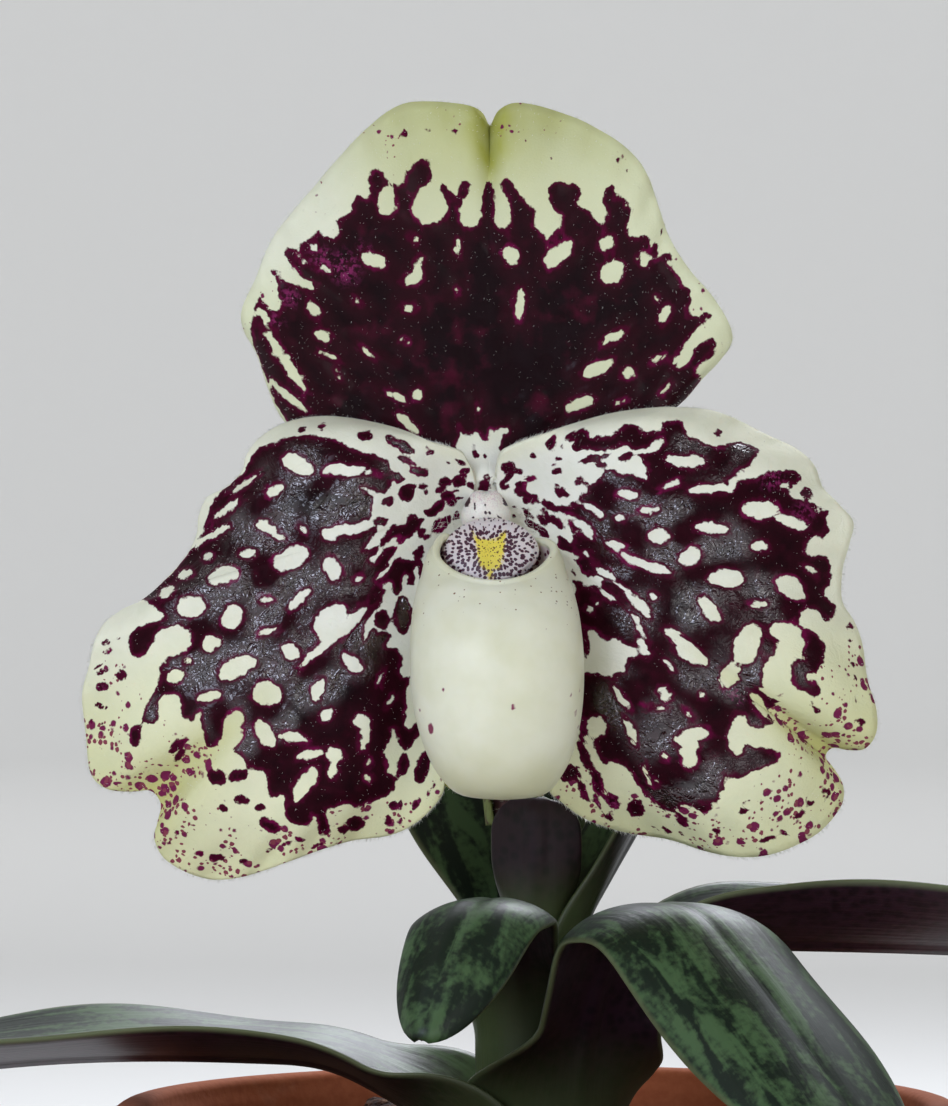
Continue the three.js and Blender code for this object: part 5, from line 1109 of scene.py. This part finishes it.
# Each with its tables, where its notch is along the outline, its ripple's phase, its seed and its gloss.
PETALS = {
    "petal_left": (LEFT_CLAW, LEFT_OUTLINE, LEFT_STAIN, LEFT_WINDOWS, LEFT_SPOTS, LEFT_WAXY, LEFT_FADED,
                   0.534, 0.4, 31, 0.75),
    "petal_right": (RIGHT_CLAW, RIGHT_OUTLINE, RIGHT_STAIN, RIGHT_WINDOWS, RIGHT_SPOTS, RIGHT_WAXY,
                    RIGHT_FADED, 0.526, 2.2, 51, 0.55),
}
for node, values in PETALS.items():
    claw, outline, field, windows, spots, shiny, pale, notch_at, phase, seed, glossy = values
    middle, x, z, s, t = petal_places(
        claw, outline, lambda x, z, s, t: petal_depth(x, z, s, t, notch_at, phase, seed), *PETAL_GRID)
    flat = np.stack([x, z], -1)
    stain = stain_at(x, z, field, windows, spots, seed)
    pucker = smooth(-0.2, 0.9, stain) * smooth(0.15, 0.4, s) * smooth(1, 0.88, s)
    ridges = 0.5 - np.abs(swells(flat, 2.6, seed + 6))
    middle[..., 1] -= pucker * (0.12 * swells(flat, 3.4, seed + 5) + 0.16 * in_rounds(shiny, x, z) * ridges)
    points, faces, normal = sheet_skin(middle, petal_thickness(s), BACK_ROWS)
    notch = bell(t - notch_at, 0.04)
    low = smooth(0.38, 0.46, t) * (1 - smooth(0.88, 0.96, t))
    marks = {
        "stain": stain.clip(-3, 3),
        "flush": (0.7 * notch * smooth(0.5, 0.9, s) + 0.25 * low * smooth(0.85, 1, s)).clip(0, 1),
        "cool": 1 - smooth(0.3, 0.95, s) * (0.4 + 0.6 * low),
        "speck": (low * (0.7 + 0.6 * swells(flat, 5, seed + 7)) * smooth(0.74, 0.93, s)
                  + 0.6 * notch * smooth(0.7, 0.9, s)).clip(0, 1),
        "faded": in_rounds(pale, x, z),
        "waxy": (in_rounds(shiny, x, z) * (glossy + 0.9 * swells(flat, 5, seed + 10))).clip(0, 1),
        "run": 2.2 * s,
        "fan": 34 * t,
    }
    front = 1.0 * (normal[..., 1].mean() < 0)
    face = np.concatenate([np.full(x.size, front), np.full(len(points) - x.size, 1 - front)])
    petal = make_piece(node + "_flesh", points, faces, waxy_flesh, face=face,
                       **{mark: both_sides(value, BACK_ROWS) for mark, value in marks.items()})
    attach(petal, "root")
    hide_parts(node)
    down_piece = fringe(node + "_down", middle, normal, 2100, seed + 8, body=3000)
    rng = np.random.default_rng(seed + 9)
    side = 1 if x.mean() > 0 else -1
    tufted = in_ovals([[4.4 * side, -0.2, 2.4, 1.0, -38 * side]], x, z) > 0
    rooted = rng.permutation(np.argwhere(tufted))[:TUFT_HAIRS]
    ways = [-0.5 * side, -1.0, 0.1] + 0.45 * rng.normal(size=(TUFT_HAIRS, 3))
    points, faces = hair_skin(middle[tuple(rooted.T)] - [0, 0.3, 0], ways,
                              rng.uniform(1.3, 2.6, TUFT_HAIRS), HAIR_WIDTH, rng, bend=0.45)
    tuft = make_piece(node + "_tuft", points, faces, down)
    for hairs in (down_piece, tuft):
        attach(hairs, "root")

# ---------------------------------------------------------------- lower sepal
# The two lower sepals are fused into one that hangs behind the pouch: thin, cream, yellow-green at its tip,
# with a few small spots, and fringed like the others.

LOWER_CLAW = [[1.3, -1.1], [-2.1, -1.1]]
LOWER_OUTLINE = [
    [3.2, -4.2], [5.8, -9], [7, -15], [6.9, -21], [6.2, -25.2], [4.8, -27.3], [2.4, -26.9], [0.4, -26.7],
    [-1.8, -26.7], [-4, -26.9], [-5.4, -25], [-6.4, -20], [-6.4, -14], [-5, -8.5], [-2.8, -4.2],
]
LOWER_SPOTS = [[-3.2, -12, 0.5, 0.3, 80], [2.8, -9.5, 0.4, 0.3, 90], [3.6, -16.5, 0.6, 0.3, 80],
               [-2.4, -19, 0.4, 0.25, 90], [0.6, -13.5, 0.5, 0.25, 90], [1.9, -22, 0.4, 0.3, 90]]


def lower_depth(x, z, s, t):
    """Comes forward by 2.35 mm below its claw, cups at its sides by 0.006 x^2, and ripples by 0.12 mm."""
    ripple = 0.12 * np.cos(1.5 * x) * smooth(0.1, 0.4, s) * (1 - s)
    return -3.05 + 2.35 * smooth(3, 12, -z) + 0.006 * x * x + ripple


middle, x, z, s, t = petal_places(LOWER_CLAW, LOWER_OUTLINE, lower_depth, 49, 170)
points, faces, normal = sheet_skin(middle, petal_thickness(s))
marks = {
    "stain": in_ovals(LOWER_SPOTS, x, z).clip(-3, 3),
    "flush": 0.25 + 0.75 * smooth(19, 26, -z),
    "cool": 0.5 + 0 * s,
    "speck": 0.45 * smooth(0.3, 0.6, s) * smooth(0.2, 0.8, swells(np.stack([x, z], -1), 5, 18)),
    "faded": 0 * s,
    "waxy": 0 * s,
    "run": 2 * s,
    "fan": 16 * t,
}
lower_sepal = make_piece("lower_sepal_flesh", points, faces, dorsal_flesh, face=np.ones(len(points)),
                         **{mark: both_sides(value) for mark, value in marks.items()})
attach(lower_sepal, "root")
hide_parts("lower_sepal")
lower_down = fringe("lower_sepal_down", middle, normal, 300, seed=24, body=300)
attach(lower_down, "root")

# ---------------------------------------------------------------- pouch
# The slipper: one petal grown into a thick satin bag, egg-shaped, with a rounded lip that dips at the front
# and rises to an ear on the left. Cream, with a few purple flecks, and tiny brown dots under the lip.

POUCH_WALL = 0.9
# Its level curves from the lowest point to the mouth: [height, half width, how far forward its front and its
# back are, how far its middle lies to the right].
POUCH_LEVELS = [
    [-27.6, 0, 10, 10, 1.2], [-27.1, 4.0, 13.4, 7.2, 1.15], [-25.2, 6.0, 16.3, 5.4, 1.0],
    [-22.3, 7.4, 18.4, 4.2, 0.9], [-18.4, 8.3, 19.6, 3.5, 0.75], [-14, 8.55, 19.7, 3.2, 0.65],
    [-10, 8.3, 18.6, 3.0, 0.55], [-7.2, 7.8, 16.2, 2.8, 0.45], [-5.4, 7.2, 13.6, 2.6, 0.4],
    [-3.6, 6.75, 11.8, 2.5, 0.35], [-2.2, 5.85, 10.8, 2.4, 0.5],
]
# Flecks as [right, up, half length, half width, tilt].
POUCH_FLECKS = [
    [-4.6, -16.6, 0.26, 0.11, 85], [-6.9, -18.6, 0.22, 0.07, 100], [-6.45, -19.5, 0.2, 0.06, 100],
    [-5.8, -20.4, 0.58, 0.26, 95], [2.2, -18.2, 0.32, 0.3, 0], [7.4, -14.8, 0.2, 0.07, 85],
    [7.8, -17.1, 0.36, 0.12, 82], [8.7, -16.6, 0.26, 0.07, 85], [8.3, -18.9, 0.42, 0.1, 82],
    [8.6, -20.3, 0.3, 0.06, 80], [5.5, -10.7, 0.14, 0.1, 60], [-5.35, -2.6, 0.22, 0.1, 50],
]


def pouch_at(q, turn, inset, lift):
    """A point of the bag: the level curve at q (0 lowest, 1 the mouth's top), an ellipse in plan with turn 0
    in front, drawn in by inset; its lip rises to an ear of 0.7 mm on the left."""
    height, width, front, back, shift = np.moveaxis(along_curve(POUCH_LEVELS, q), -1, 0)
    reach = (front - back) / 2
    shrink, reach = np.maximum(0.4, 1 - inset / width), np.maximum(0.4 * reach, reach - inset)
    ear = (0.35 - 0.35 * np.sin(turn)) * smooth(0.82, 1, q) * bell(np.abs(np.sin(turn)) - 1, 0.16)
    folded = 0.35 * smooth(0.86, 1, q / mouth_at(turn)) * smooth(-0.2, 0.6, np.cos(turn))
    y = -((front + back) / 2 + (reach + folded) * np.cos(turn))
    level = height + inset * (1 - smooth(0, 0.35, q)) + lift + ear
    return BLOOM + np.stack([shift + width * shrink * np.sin(turn) * (1 - 0.1 * ear), y, level], -1)


def mouth_at(turn):
    """The lip's height as a share of the levels: it dips at the front."""
    return 1 - 0.256 * ((1 + np.cos(turn)) / 2) ** 2.5


turn = np.linspace(0, 2 * np.pi, 112, endpoint=False)[None]
share = (np.linspace(0, 1, 71)[1:, None]) ** 0.8
outside = pouch_at(share * mouth_at(turn), turn, 0, 0)
bend = np.linspace(0, np.pi, 8)[1:-1, None]
lip = pouch_at(mouth_at(turn) + 0 * bend, turn, POUCH_WALL / 2 * (1 - np.cos(bend)),
               POUCH_WALL / 2 * np.sin(bend))
within = pouch_at(share[::-1] * mouth_at(turn), turn, POUCH_WALL, 0)
rings = np.concatenate([outside, lip, within])
lowest = BLOOM + [POUCH_LEVELS[0][4], -POUCH_LEVELS[0][2], POUCH_LEVELS[0][0]]
points, faces = ringed_skin(rings, lowest, lowest + [0, 0, POUCH_WALL])
across, up = points[:, 0] - BLOOM[0], points[:, 2] - BLOOM[2]
in_front = 1.0 * (points[:, 1] < BLOOM[1] - 9)
lined = np.zeros(len(points))
lined[1 + (len(outside) + len(bend) + 3) * turn.size :] = 1.0
fleck = np.where(in_front > 0, in_ovals(POUCH_FLECKS, across, up), -1).clip(-1, 1) * (1 - lined) - lined
freckled = smooth(-12.5, -7.5, up) * in_front * (1 - lined)

cream_pouch, add, shader = new_finish("Satin cream pouch flesh")
place = add("TexCoord", out="Object")
fleck_mark, freckle_mark, lined_mark, painted_shade_mark = (
    add("Attribute", attribute_name=mark, out="Fac") for mark in ("fleck", "freckled", "lined", "height")
)
mottle = add("TexNoise", {"Vector": place, "Scale": 1 / (5 * MM), "Detail": 3.0})
tinted = add("MapRange", {"Value": mottle, "From Min": 0.4, "From Max": 0.7})
body = add("Mix", {0: tinted, 6: linear("#e4e3c9"), 7: linear("#dad9b9")}, **COLOURS)
# Painted shade: the height mark makes the bag darker and yellower towards its underside and in a band just
# under its lip.
body = add("Mix", {0: painted_shade_mark, 6: body, 7: linear("#cfce9f")}, **COLOURS)
flecked = add("MapRange", {"Value": fleck_mark, "From Min": -0.06, "From Max": 0.05})
body = add("Mix", {0: flecked, 6: body, 7: linear("#7e2447")}, **COLOURS)
dots = add("TexVoronoi", {"Vector": place, "Scale": 1 / (0.5 * MM)})
pick = add("SeparateColor", {0: dots.node.outputs["Color"]})
few = add("MapRange", {"Value": pick, "From Min": 0.55, "From Max": 1.0, "To Max": 0.27})
few = add("Math", {0: few, 1: freckle_mark}, operation="MULTIPLY")
dotted = add("Math", {0: few, 1: dots}, operation="SUBTRACT")
dotted = add("MapRange", {"Value": dotted, "From Min": 0.0, "From Max": 0.05})
body = add("Mix", {0: dotted, 6: body, 7: linear("#7d5a34")}, **COLOURS)
spots = add("TexVoronoi", {"Vector": place, "Scale": 1 / (0.7 * MM)})
spotted = add("MapRange", {"Value": spots, "From Min": 0.42, "From Max": 0.34})
lining = add("Mix", {0: spotted, 6: linear("#d3c4bb"), 7: linear("#5e2439")}, **COLOURS)
skin = add("Mix", {0: lined_mark, 6: body, 7: lining}, **COLOURS)
cells = add("TexNoise", {"Vector": place, "Scale": 1 / (0.35 * MM), "Detail": 2.0})
relief = add("Bump", {"Height": cells, "Strength": 0.12, "Distance": 0.05 * MM})
add(shader, {"Base Color": skin, "Normal": relief, "Roughness": 0.38, "Specular IOR Level": 0.4,
             "Subsurface Weight": 0.25, "Subsurface Radius": (1.0, 0.8, 0.5), "Subsurface Scale": 1.2 * MM})
# Its height mark is painted shade, strongest at the underside and just under the lip.
pouch = make_piece("pouch_flesh", points, faces, cream_pouch, fleck=fleck, freckled=freckled, lined=lined,
                   height=0.55 * smooth(-21, -27, up) + 0.3 * smooth(-7, -4, up))
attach(pouch, "root")
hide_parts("pouch")

# ---------------------------------------------------------------- receptacle and column
# The receptacle is the cup on the ovary's end where petals, sepals and column meet. The column, on which the
# stigma and anthers are borne, is a stout waxy rod with two shoulders. Both are white, stippled and flecked.

waxy_column, add, shader = new_finish("Waxy white column, stippled pink")
place = add("TexCoord", out="Object")
fleck_mark, blush_mark = (add("Attribute", attribute_name=mark, out="Fac") for mark in ("fleck", "blush"))
stipple = add("TexNoise", {"Vector": place, "Scale": 1 / (0.16 * MM), "Detail": 3.0})
stipple = add("MapRange", {"Value": stipple, "From Min": 0.46, "From Max": 0.64})
blushed = add("Math", {0: stipple, 1: blush_mark}, operation="MULTIPLY")
skin = add("Mix", {0: blushed, 6: linear("#e3e0d2"), 7: linear("#b98598")}, **COLOURS)
ragged = add("TexNoise", {"Vector": place, "Scale": 1 / (0.3 * MM), "Detail": 2.0})
ragged = add("Math", {0: ragged, 1: 0.4, 2: -0.2}, operation="MULTIPLY_ADD")
ragged = add("Math", {0: ragged, 1: fleck_mark}, operation="ADD")
flecked = add("MapRange", {"Value": ragged, "From Min": -0.03, "From Max": 0.04})
skin = add("Mix", {0: flecked, 6: skin, 7: linear("#330b1e")}, **COLOURS)
add(shader, {"Base Color": skin, "Roughness": 0.36, "Specular IOR Level": 0.4, "Subsurface Weight": 0.2,
             "Subsurface Scale": 0.8 * MM})

HUB_MIDDLE = BLOOM + [-0.35, 0, 0.8]
HUB_PROFILE = [[0, -1.9], [1.6, -2.0], [3.0, -2.1], [3.9, -2.5], [4.1, -3.0], [3.7, -3.8], [3.0, -4.3],
               [2.3, -4.45], [0, -4.5]]
profile = along_curve(HUB_PROFILE, np.linspace(0, 1, 40))
turn = np.linspace(0, 2 * np.pi, 72, endpoint=False)[None]
lobes = 1 + 0.04 * np.cos(6 * turn)
rings = HUB_MIDDLE + np.stack([profile[1:-1, :1] * lobes * np.sin(turn), -profile[1:-1, 1:] + 0 * turn,
                               0.64 * profile[1:-1, :1] * lobes * np.cos(turn)], -1)
points, faces = ringed_skin(rings, *(HUB_MIDDLE + [0, -profile[end, 1], 0] for end in (0, -1)))
HUB_FLECKS = [[-3.1, 2.4, 0.4, 0.3, 20], [2.5, 2.3, 0.4, 0.3, 0], [-3.3, 0.9, 0.4, 0.25, 0],
              [2.8, 1.0, 0.4, 0.25, 0], [-0.5, 3.6, 0.9, 0.8, 0], [-2.9, -0.4, 0.35, 0.2, 0],
              [2.4, -0.3, 0.35, 0.2, 0]]
fleck = in_ovals(HUB_FLECKS, points[:, 0] - BLOOM[0], points[:, 2] - BLOOM[2]).clip(-1, 1)
receptacle = make_piece("receptacle", points, faces, waxy_column, fleck=fleck, blush=0.2 + 0 * fleck)
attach(receptacle, "root")

COLUMN_SHIFT, COLUMN_BACK, COLUMN_FRONT = -0.4, -4.1, 4.3
COLUMN_HALF_WIDTH, COLUMN_HALF_HEIGHT, COLUMN_LIFT = 2.5, 2.1, 0.9
u, turn = np.meshgrid(np.linspace(0, 1, 82)[1:-1], np.linspace(0, 2 * np.pi, 96, endpoint=False),
                      indexing="ij")
forward = COLUMN_BACK + (COLUMN_FRONT - COLUMN_BACK) * (1 - np.cos(np.pi * u)) / 2
nose = np.sqrt(1 - np.clip((forward - COLUMN_FRONT + 2) / 2, 0, 1) ** 2)
tail = np.sqrt(1 - np.clip((COLUMN_BACK + 2 - forward) / 2, 0, 1) ** 2)
girth = nose * tail * (1 - 0.1 * smooth(1.5, -1.5, forward))
square = (np.abs(np.cos(turn)) ** 3.4 + np.abs(np.sin(turn)) ** 3.4) ** (-1 / 3.4)
shoulder = square * (1 - 0.32 * smooth(-0.3, 1.0, square * np.sin(turn)))
furrow = 0.22 * bell(np.cos(turn), 0.22) * (np.sin(turn) > 0) * bell(forward - 2.2, 1.4)
stigma = 0.9 * bell(forward - 1.6, 1.0) * smooth(-0.3, -0.95, np.sin(turn))
right = COLUMN_SHIFT + COLUMN_HALF_WIDTH * girth * shoulder * np.cos(turn)
up = COLUMN_LIFT + COLUMN_HALF_HEIGHT * girth * square * np.sin(turn) - stigma - furrow
rings = BLOOM + np.stack([right, -forward, up], -1)
ends = [BLOOM + [COLUMN_SHIFT, -place, COLUMN_LIFT] for place in (COLUMN_BACK, COLUMN_FRONT)]
points, faces = ringed_skin(rings, *ends)
across, up = points[:, 0] - BLOOM[0], points[:, 2] - BLOOM[2]
COLUMN_FLECKS = [[-2.25, 1.8, 0.55, 0.3, 72], [1.5, 1.8, 0.5, 0.22, 108], [-1.5, 1.15, 0.5, 0.07, 95],
                 [-0.47, 0.68, 0.2, 0.15, 90], [-0.02, 0.62, 0.14, 0.09, 90], [-0.47, 1.46, 0.12, 0.09, 90],
                 [-0.6, 0.1, 0.2, 0.08, 90], [-0.1, 0.05, 0.22, 0.08, 90], [0.75, 0.4, 0.2, 0.05, 130],
                 [-1.7, 0.2, 0.14, 0.08, 0], [1.0, 0.2, 0.12, 0.1, 0], [-0.8, -0.3, 0.2, 0.1, 90]]
fleck = in_ovals(COLUMN_FLECKS, across, up).clip(-1, 1)
column = make_piece("column_body", points, faces, waxy_column, fleck=fleck,
                    blush=0.15 + 0.4 * smooth(1.0, 2.4, up) * smooth(2.2, 1.0, np.abs(across + 0.4)))
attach(column, "root")
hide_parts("column")

# ---------------------------------------------------------------- anthers
# Two anthers, one under either side of the column: round, furrowed, each full of sticky golden pollen.

pollen, add, shader = new_finish("Sticky golden pollen")
place = add("TexCoord", out="Object")
grains = add("TexVoronoi", {"Vector": place, "Scale": 1 / (0.09 * MM)})
gold = add("Mix", {0: grains, 6: linear("#dcb43a"), 7: linear("#9c6d1c")}, **COLOURS)
relief = add("Bump", {"Height": grains, "Strength": 0.6, "Distance": 0.04 * MM})
add(shader, {"Base Color": gold, "Normal": relief, "Roughness": 0.3})
ANTHER_RADIUS = 0.6
rise, turn = np.meshgrid(np.linspace(-90, 90, 26)[1:-1] * np.pi / 180,
                         np.linspace(0, 2 * np.pi, 40, endpoint=False), indexing="ij")
furrow = 1 - 0.16 * bell(np.sin(turn), 0.25) * np.cos(rise)
ball = ANTHER_RADIUS * np.stack([np.cos(rise) * np.cos(turn) * furrow, np.cos(rise) * np.sin(turn) * furrow,
                                 0.95 * np.sin(rise)], -1)
for node, side in {"anther_left": -1, "anther_right": 1}.items():
    seat = BLOOM + [COLUMN_SHIFT + 1.75 * side, -1.1, -1.1]
    points, faces = ringed_skin(seat + ball, *(seat + [0, 0, 0.95 * ANTHER_RADIUS * end] for end in (-1, 1)))
    anther = make_piece(node + "_pollen", points, faces, pollen)
    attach(anther, "root")
    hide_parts(node)

# ---------------------------------------------------------------- shield
# The shield, or staminode: a domed plate that stands in front of the column over the pouch's mouth. White to
# pale pink, thick with small purple dots that run outwards, round a yellow, warty middle.

SHIELD_HALF_WIDTH, SHIELD_UP, SHIELD_DOWN, SHIELD_HALF = 4.6, 3.2, 3.2, 0.45
SHIELD_MIDDLE = [0.08, -3.1]
SHIELD_YELLOW = [
    [-1.8, -1.2], [-1.3, -1.7], [-0.6, -1.9], [0.3, -1.9], [0.8, -1.8], [1.05, -1.4], [1.5, -1.2],
    [1.45, -2.5], [1.25, -3.7], [1.1, -4.5], [0.8, -4.9], [0.3, -5.0], [0.25, -5.6], [0.0, -6.1],
    [-0.25, -5.6], [-0.3, -5.0], [-0.8, -4.8], [-1.1, -4.3], [-1.3, -3.5], [-1.3, -2.8], [-1.55, -2.1],
]


def shield_at(share, turn, offset):
    """A point of the plate at a share of the way out and an angle round, offset along its depth: it leans
    forward at its foot, is domed by 1.1 mm, and its middle is sunk in a shallow furrow."""
    x = SHIELD_MIDDLE[0] + SHIELD_HALF_WIDTH * share * np.sin(turn) * (1 - 0.12 * np.cos(turn) ** 2)
    z = SHIELD_MIDDLE[1] + np.where(np.cos(turn) > 0, SHIELD_UP, SHIELD_DOWN) * share * np.cos(turn)
    furrow = -0.28 * bell(x - 0.05, 0.9) * bell(z + 3.0, 2.4)
    rim = -0.25 * smooth(0.85, 1, share) ** 2
    depth = 6.7 - 0.58 * (z + 3.1) + 1.1 * (1 - share * share) + furrow + rim
    return BLOOM + np.stack([x, -(depth + offset), z], -1)


turn = np.linspace(0, 2 * np.pi, 120, endpoint=False)[None]
share = np.linspace(0, 1, 46)[1:, None]
edge = np.linspace(0, np.pi, 7)[1:-1, None]
front = shield_at(share, turn, SHIELD_HALF)
rim = shield_at(1 + 0.035 * np.sin(edge), turn, SHIELD_HALF * np.cos(edge))
behind = shield_at(share[::-1], turn, -SHIELD_HALF)
rings = np.concatenate([front, rim, behind])
ends = [shield_at(np.array(0.0), np.array(0.0), offset) for offset in (SHIELD_HALF, -SHIELD_HALF)]
points, faces = ringed_skin(rings, *ends)
across, up = points[:, 0] - BLOOM[0], points[:, 2] - BLOOM[2]
yellow = inside(SHIELD_YELLOW, across, up)
out_x, out_z = across + 0.1, up + 3.0
reach = np.hypot(out_x, out_z * 1.3) + 1e-6
flank = bell(yellow + 0.35, 0.45) * smooth(1.6, 0.9, np.abs(up + 2.6))
dense = (0.66 + 0.34 * flank + 0.12 * smooth(-2.2, -4.5, up) - 0.3 * smooth(-1.3, -0.3, up)
         - 0.5 * smooth(4.2, 5.0, reach) - 0.42 * smooth(0.0, 0.3, yellow) + 0.12 * swells(points, 1.3, 77))
spread = 1.3 * reach ** -0.22
spotted_shield, add, shader = new_finish("Spotted waxy shield, yellow in its middle")
yellow_mark, dense_mark, run_x, run_z, front_mark = (
    add("Attribute", attribute_name=mark, out="Fac")
    for mark in ("yellow", "dense", "run_x", "run_z", "front")
)
run = add("CombineXYZ", {0: run_x, 1: run_z})
dots = add("TexVoronoi", {"Vector": run, "Scale": 1 / 0.37}, voronoi_dimensions="2D")
pick = add("SeparateColor", {0: dots.node.outputs["Color"]})
wide = add("MapRange", {"Value": dense_mark, "To Min": 0.0, "To Max": 0.52})
wide = add("Math", {0: pick, 1: 0.18, 2: wide}, operation="MULTIPLY_ADD")
torn = add("TexNoise", {"Vector": run, "Scale": 1 / 0.2, "Detail": 2.0})
wide = add("Math", {0: torn, 1: 0.5, 2: wide}, operation="MULTIPLY_ADD")
wide = add("Math", {0: wide, 1: 0.3}, operation="SUBTRACT")
dotted = add("Math", {0: wide, 1: dots}, operation="SUBTRACT")
dotted = add("MapRange", {"Value": dotted, "From Min": -0.02, "From Max": 0.06})
dotted = add("Math", {0: dotted, 1: front_mark}, operation="MULTIPLY")
frayed = add("TexNoise", {"Vector": run, "Scale": 1 / 0.3, "Detail": 3.0})
frayed = add("Math", {0: frayed, 1: 0.9, 2: yellow_mark}, operation="MULTIPLY_ADD")
warm = add("MapRange", {"Value": frayed, "From Min": 0.3, "From Max": 0.6})
ground = add("Mix", {0: warm, 6: linear("#d9cfcb"), 7: linear("#e6d350")}, **COLOURS)
ink = add("Mix", {0: warm, 6: linear("#451a30"), 7: linear("#6b4a1e")}, **COLOURS)
skin = add("Mix", {0: dotted, 6: ground, 7: ink}, **COLOURS)
relief = add("Bump", {"Height": dots, "Strength": 0.35, "Distance": 0.08 * MM})
add(shader, {"Base Color": skin, "Normal": relief, "Roughness": 0.45, "Subsurface Weight": 0.15,
             "Subsurface Scale": 0.5 * MM})
fore = np.ones(len(points))
fore[1 + (len(front) + 3) * turn.size :] = 0.0
shield = make_piece("shield_plate", points, faces, spotted_shield, yellow=yellow.clip(-2, 2),
                    dense=dense.clip(0, 1), run_x=out_x * spread, run_z=out_z * spread, front=fore)
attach(shield, "root")
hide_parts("shield")

# ---------------------------------------------------------------- floor, light and camera
# A plain pale sweep: a floor that curves up into a wall all round, well clear of the plant. Softboxes light
# the plant and the wall.

SWEEP_RADIUS, SWEEP_CURVE, SWEEP_HEIGHT = 3200, 900, 2300
bend = np.linspace(0, math.pi / 2, 24)
sweep_profile = np.concatenate([
    [[60, 0], [200, 0], [600, 0], [1400, 0]],
    np.stack([SWEEP_RADIUS + SWEEP_CURVE * np.sin(bend), SWEEP_CURVE * (1 - np.cos(bend))], -1),
    [[SWEEP_RADIUS + SWEEP_CURVE, SWEEP_HEIGHT]],
])
sides = 128
around = np.linspace(0, 2 * np.pi, sides, endpoint=False)
radius, height = sweep_profile[:, :1], sweep_profile[:, 1:]
rings = np.stack([radius * np.cos(around), radius * np.sin(around), height + 0 * around], -1)
points = np.concatenate([[[0, 0, 0]], rings.reshape(-1, 3)])
j = np.arange(sides)
row = 1 + sides * np.arange(len(rings) - 1)[:, None]
quads = np.stack([row + j, row + sides + j, row + sides + (j + 1) % sides, row + (j + 1) % sides], -1)
middle_fan = np.stack([np.zeros(sides, dtype=int), 1 + j, 1 + (j + 1) % sides], -1)
paper, add, shader = new_finish("Pale grey background paper")
add(shader, {"Base Color": linear("#e4e4e2"), "Roughness": 0.9, "Specular IOR Level": 0.2})
sweep = make_piece("paper_sweep", points, quads.reshape(-1, 4).tolist() + middle_fan.tolist(), paper)
sweep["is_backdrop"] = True

sky = bpy.data.worlds.new("Soft room light")
sky.use_nodes = True
sky.node_tree.nodes["Background"].inputs["Color"].default_value = linear("#e6e8ec")
sky.node_tree.nodes["Background"].inputs["Strength"].default_value = 0.10
bpy.context.scene.world = sky

WALL_LIGHTS = (("back", 0, 1, 56), ("front", 0, -1, 20), ("left", -1, 0, 30), ("right", 1, 0, 30))
LENS_DISTANCE = 600  # from the lens to the bloom's middle plane
FRAME_HEIGHT = 110.6  # of the view at that plane
SENSOR = 36
camera_place = np.array([-6.6, BLOOM[1] - LENS_DISTANCE, 131.7])


def softbox(name, place, aim, size, watts, colour):
    """A square area light of `size` mm at place that faces aim, both in mm. Its power is in watts."""
    light = bpy.data.lights.new(name, "AREA")
    light.shape, light.size, light.energy, light.color = "SQUARE", size * MM, watts, linear(colour)[:3]
    lamp = bpy.data.objects.new(name, light)
    bpy.context.scene.collection.objects.link(lamp)
    way = (np.array(aim) - place) * MM
    lamp.location = np.array(place) * MM
    lamp.rotation_mode = "QUATERNION"
    lamp.rotation_quaternion = Vector(way).to_track_quat("-Z", "Y")


softbox("key_softbox", (-420, -800, 420), BLOOM, 420, 4.7, "#e0e8ff")
softbox("fill_softbox", (440, -800, 230), BLOOM, 420, 1.5, "#f4f4f6")
softbox("rim_softbox", (150, 700, 700), BLOOM, 420, 6, "#f2f6ff")
for wall, x, y, watts in WALL_LIGHTS:
    softbox(f"{wall}_wall_softbox", (1500 * x, 1500 * y, 2600), (3900 * x, 3900 * y, 500), 1600, watts,
            "#f6f7fa")

lens = bpy.data.cameras.new("camera")
lens.sensor_width = SENSOR
lens.lens = SENSOR * LENS_DISTANCE / FRAME_HEIGHT
camera = bpy.data.objects.new("camera", lens)
bpy.context.scene.collection.objects.link(camera)
camera.location = camera_place * MM
camera.rotation_euler = (math.pi / 2, 0, 0)
bpy.context.scene.camera = camera
bpy.context.scene.view_settings.view_transform = "Standard"

low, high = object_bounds()
